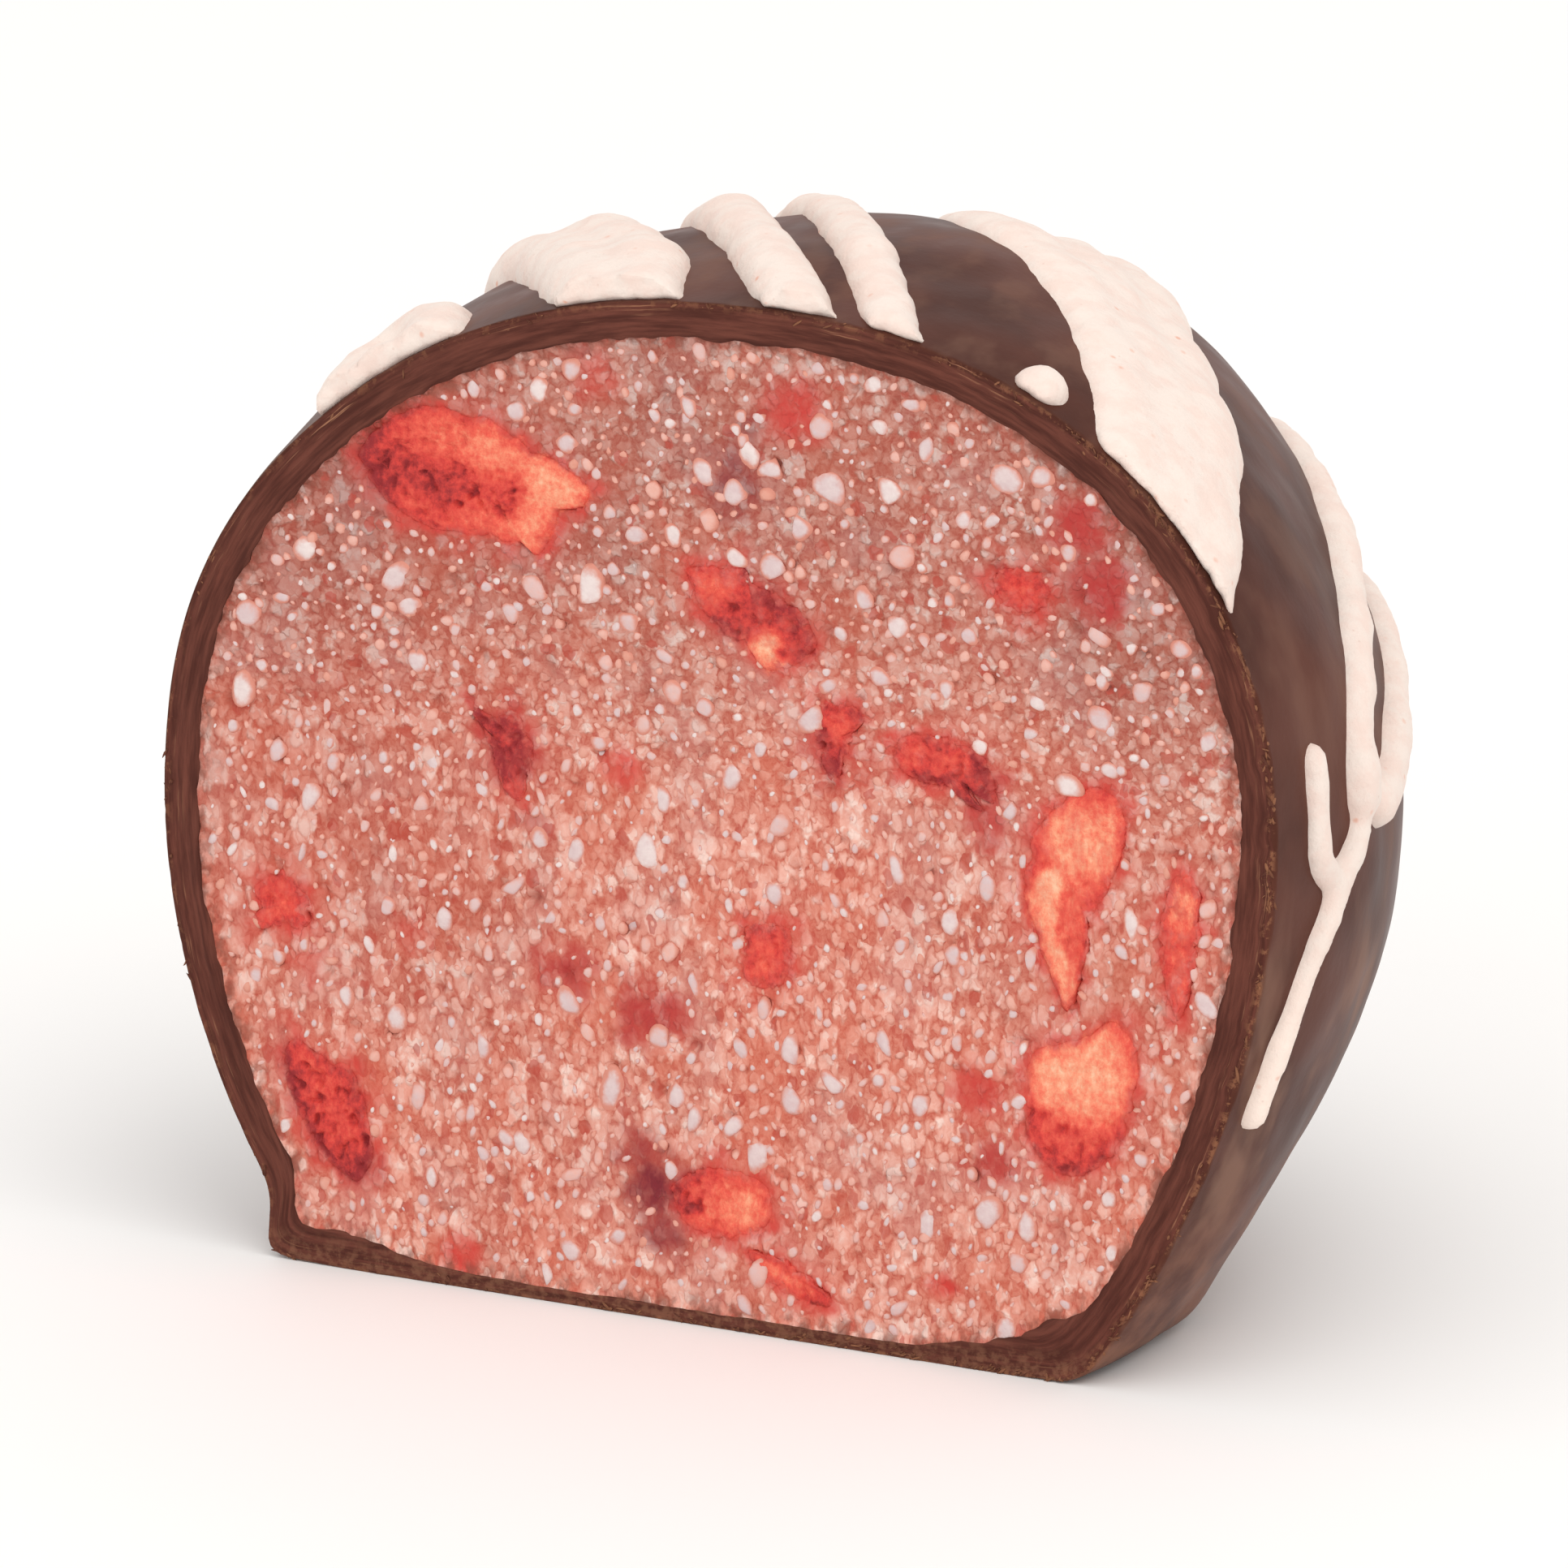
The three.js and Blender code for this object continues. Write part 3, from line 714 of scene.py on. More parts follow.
# %% Where the pieces lie
# Each piece: how much paste veils it from 0 to 1, its outline on the cut in millimetres across
# and up, and patches of tone inside it: across, up, radius, and tone from 0 for pale orange
# over 0.5 for orange red to 1 for dark crimson.
FRUIT = [
    (0.05, [(-10.8, 23.9), (-9.7, 25.2), (-8.6, 25.6), (-7.4, 25.5), (-6.3, 25.3), (-5.3, 24.7),
            (-4.2, 24.3), (-3.5, 23.8), (-3.6, 23.3), (-4.4, 23.1), (-4.7, 22.3), (-5.1, 21.6),
            (-5.6, 22.0), (-6.7, 22.1), (-7.8, 22.0), (-8.8, 22.1), (-9.8, 22.6), (-10.5, 23.3)],
     [(-9.7, 23.7, 1.0, .86), (-9.2, 24.8, .6, .55), (-7.5, 23.3, .8, .9), (-6.2, 23.3, .6, .84),
      (-6.6, 24.3, .7, .3), (-7.9, 24.8, .7, .45), (-4.4, 23.7, .8, .2), (-5.1, 22.5, .8, .28),
      (-7.0, 22.3, .8, .33), (-9.1, 22.5, .5, .5)]),
    (0.55, [(-0.7, 22.0), (0.4, 22.1), (1.2, 22.2), (1.4, 21.8), (1.9, 21.6), (2.6, 21.3),
            (3.3, 20.7), (3.4, 20.2), (3.1, 19.8), (2.6, 19.5), (1.9, 19.3), (1.5, 19.6),
            (1.2, 20.1), (0.2, 20.5), (-0.2, 20.9), (-0.4, 21.4)],
     [(1.9, 19.9, .4, .1), (.1, 21.3, .3, .5), (.7, 21.6, .3, .5), (1.1, 21.0, .5, .84),
      (2.7, 20.9, .5, .86), (3.0, 20.3, .4, .8), (2.3, 19.9, .15, .95), (1.5, 20.6, .3, .78)]),
    (0.75, [(8.7, 23.0), (9.5, 23.2), (10.2, 23.1), (10.4, 22.8), (10.3, 22.3), (9.7, 22.0),
            (9.1, 22.1), (8.8, 22.4)],
     [(9.6, 22.6, .7, .61)]),
    (0.45, [(3.5, 18.6), (4.0, 18.8), (4.5, 18.7), (4.9, 18.4), (4.5, 17.9), (4.4, 17.6),
            (4.2, 17.1), (4.1, 16.5), (3.8, 16.4), (3.6, 16.7), (3.5, 17.2), (3.4, 17.7),
            (3.4, 18.2)],
     [(4.1, 18.1, .4, .6), (3.5, 17.7, .3, .85), (3.8, 16.8, .4, .88), (4.7, 18.5, .2, .8)]),
    (0.4, [(5.6, 17.5), (6.0, 18.0), (6.5, 18.2), (7.1, 18.1), (7.8, 18.0), (8.4, 17.8),
           (8.7, 17.4), (8.9, 16.8), (8.8, 16.4), (8.5, 16.1), (8.0, 16.7), (7.5, 16.7),
           (6.9, 16.7), (6.3, 16.8), (5.8, 17.1)],
     [(6.3, 17.6, .4, .56), (7.0, 17.4, .5, .72), (7.5, 17.5, .3, .51), (6.7, 17.1, .2, .97),
      (7.5, 17.2, .2, .97), (8.5, 16.9, .5, .88)]),
    (0.7, [(-7.4, 17.0), (-6.5, 16.9), (-6.0, 17.1), (-5.7, 17.0), (-5.6, 16.6), (-5.3, 16.2),
           (-5.3, 15.7), (-5.5, 15.3), (-5.6, 14.6), (-6.0, 14.5), (-6.3, 14.9), (-6.4, 15.3),
           (-6.5, 15.9), (-6.9, 16.6)],
     [(-6.2, 16.6, .5, .88), (-6.1, 15.6, .5, .96), (-6.0, 14.7, .4, .66)]),
    (0.32, [(10.7, 16.8), (11.1, 17.3), (11.9, 17.4), (12.5, 17.2), (12.7, 16.5), (12.7, 15.8),
            (12.4, 15.0), (12.1, 14.2), (11.6, 13.5), (11.6, 12.8), (11.4, 12.0), (11.2, 11.1),
            (10.9, 10.6), (10.7, 11.2), (10.4, 11.9), (10.1, 12.8), (9.8, 13.5), (9.6, 14.3),
            (9.8, 15.2), (10.1, 16.0)],
     [(11.5, 15.8, .9, .23), (11.6, 16.9, .5, .49), (10.0, 15.2, .4, .57), (12.6, 15.9, .3, .52),
      (10.5, 14.5, .25, .07), (10.1, 13.3, .3, .15), (10.5, 12.4, .3, .17), (10.7, 11.4, .3, .27),
      (11.3, 12.9, .4, .52), (11.6, 14.3, .5, .5)]),
    (0.95, [(14.2, 15.1), (14.7, 15.2), (15.0, 14.8), (14.9, 14.0), (14.8, 13.2), (14.7, 12.4),
            (14.6, 11.5), (14.3, 10.9), (14.1, 11.3), (13.9, 12.1), (13.8, 13.1), (13.9, 14.1)],
     [(14.4, 14.4, .5, .33), (14.3, 12.5, .8, .56)]),
    (0.55, [(-14.1, 10.8), (-13.4, 11.4), (-13.2, 11.5), (-12.9, 11.3), (-12.6, 11.0),
            (-12.3, 10.9), (-12.4, 10.3), (-12.3, 10.0), (-12.6, 9.8), (-13.1, 9.9), (-13.5, 9.8),
            (-13.9, 9.6), (-14.2, 9.9), (-13.8, 10.3)],
     [(-13.2, 10.4, .6, .59), (-14.0, 9.8, .3, .51)]),
    (0.4, [(1.2, 11.8), (1.9, 12.0), (2.6, 12.0), (2.6, 11.3), (2.5, 10.5), (2.2, 10.2),
           (1.4, 10.1), (1.1, 10.5), (1.2, 11.1)],
     [(1.9, 11.2, .6, .6), (1.4, 10.4, .5, .52)]),
    (0.1, [(9.8, 9.3), (10.4, 9.8), (11.2, 10.0), (11.8, 10.4), (12.4, 10.8), (12.9, 10.5),
           (13.1, 9.8), (13.1, 8.8), (12.8, 7.9), (12.5, 7.0), (12.0, 6.4), (11.5, 6.0),
           (10.8, 6.0), (10.2, 6.3), (9.8, 6.8), (9.7, 7.6), (9.8, 8.5)],
     [(11.3, 9.0, 1.0, .16), (12.7, 9.7, .5, .32), (11.8, 8.3, .6, .26), (11.1, 6.8, .9, .68),
      (10.1, 7.2, .5, .62), (12.2, 7.2, .5, .6)]),
    (0.05, [(-13.1, 6.6), (-12.7, 6.7), (-12.2, 6.3), (-11.6, 6.1), (-11.0, 5.9), (-10.8, 5.3),
            (-10.6, 4.6), (-10.4, 3.9), (-10.4, 3.3), (-10.6, 2.7), (-10.9, 2.5), (-11.4, 2.8),
            (-11.9, 3.1), (-12.3, 3.6), (-12.6, 4.2), (-12.9, 4.8), (-13.2, 5.5), (-13.2, 6.1)],
     [(-12.8, 5.5, .4, .88), (-12.2, 5.9, .5, .6), (-11.6, 4.9, .6, .7), (-11.8, 3.7, .6, .76),
      (-10.9, 4.3, .5, .66), (-10.7, 3.1, .4, .9)]),
    (0.15, [(-1.2, 3.8), (-0.7, 4.4), (-0.1, 4.6), (0.7, 4.7), (1.5, 4.6), (1.9, 4.4), (2.1, 3.9),
            (2.1, 3.5), (1.7, 3.1), (1.1, 2.8), (0.4, 2.6), (-0.2, 2.7), (-0.7, 2.9), (-1.0, 3.4)],
     [(-.7, 3.9, .4, .7), (-.4, 3.5, .2, .95), (.1, 4.1, .4, .6), (.7, 4.1, .5, .42),
      (1.3, 3.5, .6, .26), (.3, 3.1, .6, .45), (1.7, 4.0, .4, .33)]),
    (0.3, [(1.2, 2.5), (1.7, 2.4), (2.2, 2.3), (2.8, 2.0), (3.4, 1.7), (3.9, 1.3), (3.8, 1.1),
           (3.3, 1.1), (2.8, 1.2), (2.2, 1.5), (1.7, 1.9), (1.3, 2.2)],
     [(1.6, 2.3, .4, .5), (2.6, 1.7, .5, .42), (3.5, 1.3, .4, .6)]),
]
FRUIT_RAGGED = 0.1


def reach_of_piece(angle, corners):
    """How far a piece's torn outline lies from its middle, at an angle."""
    corners = np.array(corners)
    spokes = corners - corners.mean(0)
    corner_angle = np.arctan2(spokes[:, 1], spokes[:, 0])
    order = np.argsort(corner_angle)
    reach = np.interp(angle, corner_angle[order], np.hypot(*spokes[order].T), period=2 * np.pi)
    circle = np.stack([np.cos(angle), np.sin(angle), 0 * angle + corners[0, 0]], -1)
    torn = rumple(circle, 0.3, 1.0) + 0.6 * rumple(circle, 0.13, 2.0)
    return reach + FRUIT_RAGGED * torn


def beyond_edge(spots, corners):
    """How far a place on the cut lies outside a piece's outline, and less than 0 inside it."""
    spokes = spots - np.mean(corners, axis=0)
    angle = np.arctan2(spokes[..., 1], spokes[..., 0])
    return np.hypot(spokes[..., 0], spokes[..., 1]) - reach_of_piece(angle, corners)


def tone_at(spots, patches):
    """Tone of a piece at places on the cut, blended from its patches."""
    total = weight = 1e-9
    for across, up, radius, tone in patches:
        away = (spots[..., 0] - across) ** 2 + (spots[..., 1] - up) ** 2
        near = np.exp(-away / radius ** 2) + 1e-6
        total, weight = total + near * tone, weight + near
    return total / weight


widths = [np.ptp(np.array(corners)[:, 0]) for veil, corners, patches in FRUIT]
print(len(FRUIT), "pieces,", round(min(widths), 1), "to", round(max(widths), 1), "mm wide")

# %% [markdown]
# ## The paste
#
# Strawberry and ground nut are pressed together into a moist, salmon-coloured paste, with red
# stains where the fruit has bled, and purple that is partly stain and partly painted shadow. Its
# cut face is the surface that everybody looks at, so it gets real relief: a net of points about a
# seventh of a millimetre apart, laid inside the exact outline by a Delaunay triangulation, with
# each point pushed in by noise. A regular grid would be simpler, but it can't follow the outline.
# The ground nut that lies just below the surface shows as soft pale spots, and those belong in the
# material, while the grains that stand in the surface come later as meshes of their own.

# %% Stains and painted shadows in the paste
# Middle across and up, radius, how red, and how purple; the purple is partly painted shadow.
STAINS_AND_SHADOWS = [(2.7, 26.8, 1.0, 0.95, 0.1), (0.8, 24.6, 1.0, 0.2, 0.8), (1.2, 26.0, 0.7, 0.0, 0.55),
          (-4.3, 9.8, 0.85, 0.95, 0.42), (-1.9, 8.9, 0.9, 0.95, 0.42), (-1.1, 8.9, 0.75, 0.9, 0.36),
          (8.3, 8.0, 0.9, 0.95, 0.1), (8.8, 6.1, 0.8, 0.8, 0.35), (-7.7, 0.9, 0.65, 1.0, 0.0),
          (7.3, 2.2, 0.4, 1.0, 0.0), (-1.3, 2.5, 0.75, 0.5, 0.75), (-1.9, 4.8, 0.8, 0.5, 0.6),
          (11.3, 24.7, 0.9, 1.0, 0.35), (11.9, 23.0, 1.0, 1.0, 0.4), (-2.5, 15.9, 0.6, 0.9, 0.0),
          (-1.5, 3.8, 1.0, 0.4, 1.0), (8.6, 15.8, 0.7, 0.85, 0.3), (11.0, 11.6, 0.6, 0.6, 0.1),
          (-3.4, 27.0, 0.8, 0.55, 0.0), (14.3, 11.2, 0.7, 0.5, 0.0), (-12.4, 9.0, 0.6, 0.5, 0.0),
          (-5.3, 14.0, 0.6, 0.4, 0.3), (-9.2, 10.2, 0.6, 0.5, 0.0), (4.5, 17.2, 0.9, 0.5, 0.15)]


def stains_and_shadows_at(spots):
    """How red the paste is at places on the cut, and how purple with stain and painted shadow."""
    ragged = np.stack([rumple(np.insert(spots, 1, 0, axis=1), 0.7, seed) for seed in (1.0, 5.0)], 1)
    wavy = spots + 0.45 * ragged
    red, purple = np.zeros(len(spots)), np.zeros(len(spots))
    for middle_x, middle_z, radius, redness, stain_and_shadow_purple in STAINS_AND_SHADOWS:
        near = np.exp(-(np.hypot(wavy[:, 0] - middle_x, wavy[:, 1] - middle_z) / radius) ** 3)
        red, purple = np.maximum(red, redness * near), np.maximum(purple, stain_and_shadow_purple * near)
    for veil, corners, patches in FRUIT:
        glow = np.exp(-np.clip(beyond_edge(wavy, corners), 0, 9) / 0.36) * 0.85
        red = np.maximum(red, glow)
        purple = np.maximum(purple, glow * np.clip(tone_at(wavy, patches) - 0.7, 0, 1) * 1.6)
    return red, purple


print("stains:", len(STAINS_AND_SHADOWS))

# %% Net of points on the cut face
PASTE_STEP = 0.15
FACE_MIDDLE = np.array([0.2, 14.2])

paste_edge = inside[-1][:, [0, 2]]
offset = paste_edge - FACE_MIDDLE
order = np.argsort(np.arctan2(offset[:, 1], offset[:, 0]))
edge_turn = np.arctan2(offset[:, 1], offset[:, 0])[order]
edge_far = np.hypot(offset[:, 0], offset[:, 1])[order]


def from_rim(spots):
    """How far inside the paste's edge a place on the cut lies."""
    offset = spots - FACE_MIDDLE
    turn = np.arctan2(offset[:, 1], offset[:, 0])
    edge_here = np.interp(turn, edge_turn, edge_far, period=2 * np.pi)
    return edge_here - np.hypot(offset[:, 0], offset[:, 1])


dice = np.random.default_rng(7)
across_face, up_face = np.meshgrid(np.arange(-17, 18, PASTE_STEP),
                                   np.arange(0, 30, PASTE_STEP * 0.87))
across_face[::2] += PASTE_STEP / 2
spots = np.stack([across_face.ravel(), up_face.ravel()], 1)
spots += dice.uniform(-0.22, 0.22, spots.shape) * PASTE_STEP
spots = spots[from_rim(spots) > 0.1]
flat = np.concatenate([paste_edge, spots])
loop = [(k, (k + 1) % COAT_TURNS) for k in range(COAT_TURNS)]
net = geometry.delaunay_2d_cdt([Vector(p) for p in flat.tolist()], loop, [], 1, 1e-6)
flat, net_faces = np.array([tuple(p) for p in net[0]]), [tuple(reversed(f)) for f in net[2]]
print("net:", len(flat), "points,", len(net_faces), "faces")

# %% Relief of the cut face
POCKET = 0.5   # how deep the paste drops below a piece of strawberry


def relief_at(spots):
    """How far behind the knife the paste's surface lies at places on the cut."""
    at = np.insert(spots, 1, 0, axis=1)
    swell = (0.11 + 0.05 * rumple(at, 2.2, 1.0) + 0.05 * rumple(at, 0.75, 2.0)
             + 0.05 * rumple(at, 0.33, 3.0))
    torn_out = np.clip(rumple(at, 0.5, 9.0) - 0.42, 0, 1) * 0.6
    return np.clip(swell + torn_out, 0.0, 0.5)


face_3d = np.insert(flat, 1, 0, axis=1)
relief = relief_at(flat)
inner = np.clip(from_rim(flat) / 0.3, 0, 1)
relief = relief * inner + 0.07 * (1 - inner)
for veil, corners, patches in FRUIT:
    relief += POCKET * np.clip((-beyond_edge(flat, corners) - 0.1) / 0.3, 0, 1)
face_3d[:, 1] = relief
print("relief of the paste:", np.percentile(relief, (5, 50, 95)).round(2), "mm")

# %% [markdown]
# ## One finish for paste and strawberry
#
# Where fruit meets paste there is no line: fibres reach out, paste covers the edge, and juice
# has run into the nut. Two separate materials would meet in a clean outline like that of a
# sticker. So the paste and the pieces share one recipe. It works out both looks everywhere and
# lets marks on the mesh, roughened by noise, choose between them: `gap` is how far a point lies
# outside a piece, `ripe` is its tone, `pore` the painted shade of its holes and `veil` the
# paste that lies over it.

# %% Colour of the paste
# From the dark hollows to the brightest meal.
PASTE_TONES = [(0.1, colour(184, 84, 68)), (0.2, colour(197, 110, 91)),
               (0.3, colour(208, 130, 111)), (0.45, colour(218, 148, 130)),
               (0.68, colour(231, 176, 160)), (1.0, colour(238, 206, 194))]


def meal_cells(spread, size, seed):
    """Round soft spots of uneven size and brightness: 0 between them, 1 in the brightest."""
    shifted = spread.node("ShaderNodeVectorMath", {"operation": "ADD"},
                          {0: spread, 1: (seed, seed, 0)})
    spot = shifted.node("ShaderNodeTexVoronoi", {"voronoi_dimensions": "2D"},
                        {"Vector": shifted, "Scale": 1 / size})
    pick = spot.node("ShaderNodeSeparateColor", None, {0: spot.beside("Color")})
    return (spot - pick * 0.25).between(0.42, 0.1) * pick.beside("Green")


def flat_cloud(spread, size, detail=2.0, roughness=0.5):
    """Soft noise over the cut plane, which is quicker than noise in space."""
    return cloud(spread, size, detail, roughness, {"noise_dimensions": "2D"})


def tinted(mask, base, tint):
    """The base colour, multiplied by a tint where the mask is 1."""
    return base.node("ShaderNodeMix", {"data_type": "RGBA", "blend_type": "MULTIPLY"},
                     {0: mask, 6: base, 7: tint}, 2)


def paste_look(spread, side, up, red, purple):
    """Colour of the paste with its painted shade, and the height of its grain."""
    warp = flat_cloud(spread, 0.3, 2.0).beside("Color")
    shaken = spread.node("ShaderNodeVectorMath", {"operation": "MULTIPLY_ADD"},
                         {0: warp, 1: (0.3, 0.3, 0), 2: spread})
    fine, coarse, large = (meal_cells(shaken, size, seed)
                           for size, seed in ((0.25, 0.0), (0.42, 31.0), (0.85, 57.0)))
    grit = flat_cloud(shaken, 0.12, 3.0, 0.7)
    bright = fine * 0.34 + coarse * 0.5 + large.between(0.25, 0.9) * 0.4 + grit * 0.5 - 0.06
    body = bright.node("ShaderNodeValToRGB", {"stops": PASTE_TONES}, {0: bright})
    drift = flat_cloud(spread, 2.4, 3.0)
    body = mix(drift.between(0.5, 0.3) * 0.3, body, colour(205, 104, 78))
    body = mix(drift.between(0.5, 0.72) * 0.25, body, colour(203, 150, 142))
    shaded = up.between(14.0, 24.0) * 0.7 + flat_cloud(spread, 5.0, 2.0).between(0.4, 0.7) * 0.2
    shaded = shaded + side.between(7.0, 14.0) * up.between(8.0, 16.0) * 0.25
    body = tinted(shaded, body, (0.62, 0.63, 0.66, 1))
    # Painted shade: darker and redder towards the left, from 4 mm up.
    body = tinted(side.between(0.0, -12.0) * up.between(4.0, 12.0), body, (0.86, 0.76, 0.75, 1))
    specks = meal_cells(shaken, 0.55, 11.0).between(0.76, 0.92)
    body = mix(specks * 0.6, body, colour(176, 64, 50))
    fibre = flat_cloud(shaken, 0.4, 3.0, 0.65).between(0.3, 0.65)
    body = mix(red * (0.75 + fibre * 0.25), body, colour(202, 62, 54))
    # Purple stain, which in places is painted shadow.
    body = mix(purple * (0.78 + fibre * 0.22), body, colour(122, 34, 44))
    return body, fine * 0.4 + coarse * 0.6


print("tones of the paste:", len(PASTE_TONES))

# %% Paste, strawberry and the border between them
# From the pale heart of a strawberry to its dark skin.
PULP_TONES = [(0.0, colour(243, 192, 158)), (0.18, colour(242, 158, 124)),
              (0.34, colour(239, 126, 98)), (0.52, colour(229, 92, 74)),
              (0.74, colour(210, 64, 57)), (1.0, colour(148, 40, 44))]


def filling_finish(name):
    """Paste, strawberry, and the ragged line between them, read from marks on the mesh."""
    material, shader, wire = new_finish(name)
    x, y, z = position_parts(place(wire))
    flowed = z.math("MINIMUM", z, 16.0) * 0.7 + z.math("MAXIMUM", z - 16.0, 0.0) * 0.95
    spread = vector(x, flowed, 0.0)
    ripe, pore, gap, veil = (painted(wire, mark) for mark in ("ripe", "pore", "gap", "veil"))
    body, grain = paste_look(spread, x, z, painted(wire, "red"), painted(wire, "purple"))
    streaky = flat_cloud(spread, 0.24, 4.0, 0.7)
    # The pores are painted darker, as the shade in them.
    redness = ripe + gap.between(-0.75, 0.0) * 0.24 + (streaky - 0.5) * 0.75 + pore * 0.4
    pulp = wire.node("ShaderNodeValToRGB", {"stops": PULP_TONES}, {0: redness})
    torn = flat_cloud(spread, 0.42, 4.0, 0.65) - 0.5
    cover = (gap + veil * 0.15 + torn * (0.65 + veil * 0.9)).between(-0.32, 0.1)
    veiled = veil * flat_cloud(spread, 0.5, 3.0, 0.6).between(0.36, 0.66) * 0.85
    cover = cover.math("MAXIMUM", cover, veiled)
    body = mix(cover, pulp, body)
    near_coat = painted(wire, "near_coat")
    smear = near_coat.between(0.6, 0.0) * flat_cloud(spread, 0.5, 4.0, 0.6).between(0.38, 0.64)
    connect(mix(smear * 0.75, body, colour(122, 68, 54)), shader, "Base Color")
    connect(0.42 + streaky * 0.25, shader, "Roughness")
    connect(bump(grain * cover + streaky * (1.0 - cover), 0.07), shader, "Normal")
    shader.inputs["Specular IOR Level"].default_value = 0.22
    print(name, "nodes:", len(material.node_tree.nodes))
    return material


paste_finish = filling_finish("strawberry_paste")

# %% The paste as one closed piece
CLEARANCE = 0.004   # share by which the hidden side is drawn in from the coating

hidden = inside[:-1][::-1] - (inside[:-1][::-1] - HEART) * CLEARANCE
paste_points = np.concatenate([face_3d, hidden.reshape(-1, 3), poles[1:]])
paste_faces = list(net_faces)
first_hidden = len(face_3d)
order_on_edge = {}
for index, original in enumerate(net[3]):
    for source in original:
        if source < COAT_TURNS:
            order_on_edge[source] = index
ring = [order_on_edge[k] for k in range(COAT_TURNS)]
for k in range(COAT_TURNS):
    k2 = (k + 1) % COAT_TURNS
    paste_faces.append((ring[k], first_hidden + k, first_hidden + k2, ring[k2]))
last_ring = first_hidden + (WALL_ROWS - 2) * COAT_TURNS
paste_faces += bands(first_hidden, WALL_ROWS - 1, COAT_TURNS)
paste_faces += fan(len(paste_points) - 1, last_ring, COAT_TURNS, last=True)

# %% Marks on the paste
red_at, purple_stain_and_shadow_at = stains_and_shadows_at(flat)
gaps = np.stack([beyond_edge(flat, corners) for veil, corners, patches in FRUIT])
nearest = np.argmin(gaps, axis=0)
tones = np.stack([tone_at(flat, patches) for veil, corners, patches in FRUIT])
veils = np.array([veil for veil, corners, patches in FRUIT])
on_face = {"red": red_at, "purple": purple_stain_and_shadow_at, "gap": np.min(gaps, axis=0),
           "near_coat": from_rim(flat), "ripe": tones[nearest, np.arange(len(flat))],
           "pore": 0 * red_at, "veil": veils[nearest]}
FAR_OFF = 5   # what the hidden side says of its distance to fruit and coating
unseen = np.zeros(len(paste_points) - len(flat))
marks = {name: np.append(values, unseen + (FAR_OFF if name in ("gap", "near_coat") else 0))
         for name, values in on_face.items()}
finish_mesh("strawberry_paste", paste_points, paste_faces,
            ["strawberry_filling"], paste_finish, marks)

# %% [markdown]
# ## Nut in the paste
#
# Chopped nut stands in the paste as whitish chips of up to a millimetre, and finer meal of a
# quarter of a millimetre lies all over. A particle system would scatter them, but only real
# meshes survive an export, so one small ball is copied, squeezed, turned and broken to flat
# sides in arrays. The knife has left every grain nearly flush with the paste, so each is seated
# on the relief and shows only its front. They lie where the dice put them, apart from the
# largest chips, which are where they can be seen on the real cut.

# %% Nut material
nut, shader, wire = new_finish("nut")
where = place(wire)
shade, core = painted(wire, "shade"), painted(wire, "core")
mottle = cloud(where, 0.25, 3.0, 0.6)
tone = wire.node("ShaderNodeValToRGB",
                 {"stops": [(0.0, colour(214, 146, 126)), (0.4, colour(224, 172, 158)),
                            (0.7, colour(208, 184, 184)), (1.0, colour(226, 211, 207))]},
                 {0: shade + mottle * 0.4 - 0.2})
tone = mix((core + (mottle - 0.5) * 0.5).between(0.9, 0.45), tone, colour(208, 136, 118))
connect(tone, shader, "Base Color")
connect(0.4 + mottle * 0.25, shader, "Roughness")
connect(bump(mottle, 0.03), shader, "Normal")
shader.inputs["Specular IOR Level"].default_value = 0.35
print("nut nodes:", len(nut.node_tree.nodes))


# %% Many small chips in one mesh
def ball(subdivisions):
    """Points and triangles of a round ball of radius 1."""
    work = bmesh.new()
    bmesh.ops.create_icosphere(work, subdivisions=subdivisions, radius=1.0)
    points = np.array([v.co[:] for v in work.verts])
    faces = np.array([[v.index for v in f.verts] for f in work.faces])
    work.free()
    return points, faces


def chips(middles, half_sizes, turns, subdivisions, breaks=9):
    """Copies of one ball, each broken to flat sides by its own random planes, in one mesh."""
    points, faces = ball(subdivisions)
    count = len(middles)
    planes = dice.normal(size=(count, breaks, 3))
    planes /= np.linalg.norm(planes, axis=2, keepdims=True)
    planes *= dice.uniform(0.75, 1.35, (count, breaks, 1))
    toward = np.maximum(np.einsum("pk,cbk->cpb", points, planes), 0)
    broken = (np.sum(toward ** 10, axis=2) + 0.75 ** 10) ** (-1 / 10)
    shaped = points[None] * half_sizes[:, None] * broken[..., None]
    cos, sin = np.cos(turns)[:, None], np.sin(turns)[:, None]
    turned = np.stack([shaped[..., 0] * cos - shaped[..., 2] * sin, shaped[..., 1],
                       shaped[..., 0] * sin + shaped[..., 2] * cos], -1)
    all_faces = faces[None] + (np.arange(count) * len(points))[:, None, None]
    return (turned + middles[:, None]).reshape(-1, 3), all_faces.reshape(-1, 3).tolist(), points


def clear_of_fruit(spots, margin):
    """Which places lie off the strawberry, and off its stains and painted shadows."""
    clear = np.maximum(*stains_and_shadows_at(spots)) < dice.uniform(0.25, 0.9, len(spots))
    for veil, corners, patches in FRUIT:
        clear &= beyond_edge(spots, corners) > margin - 0.4 * veil
    return clear


print("a chip is broken from a ball of", len(ball(3)[0]), "points")

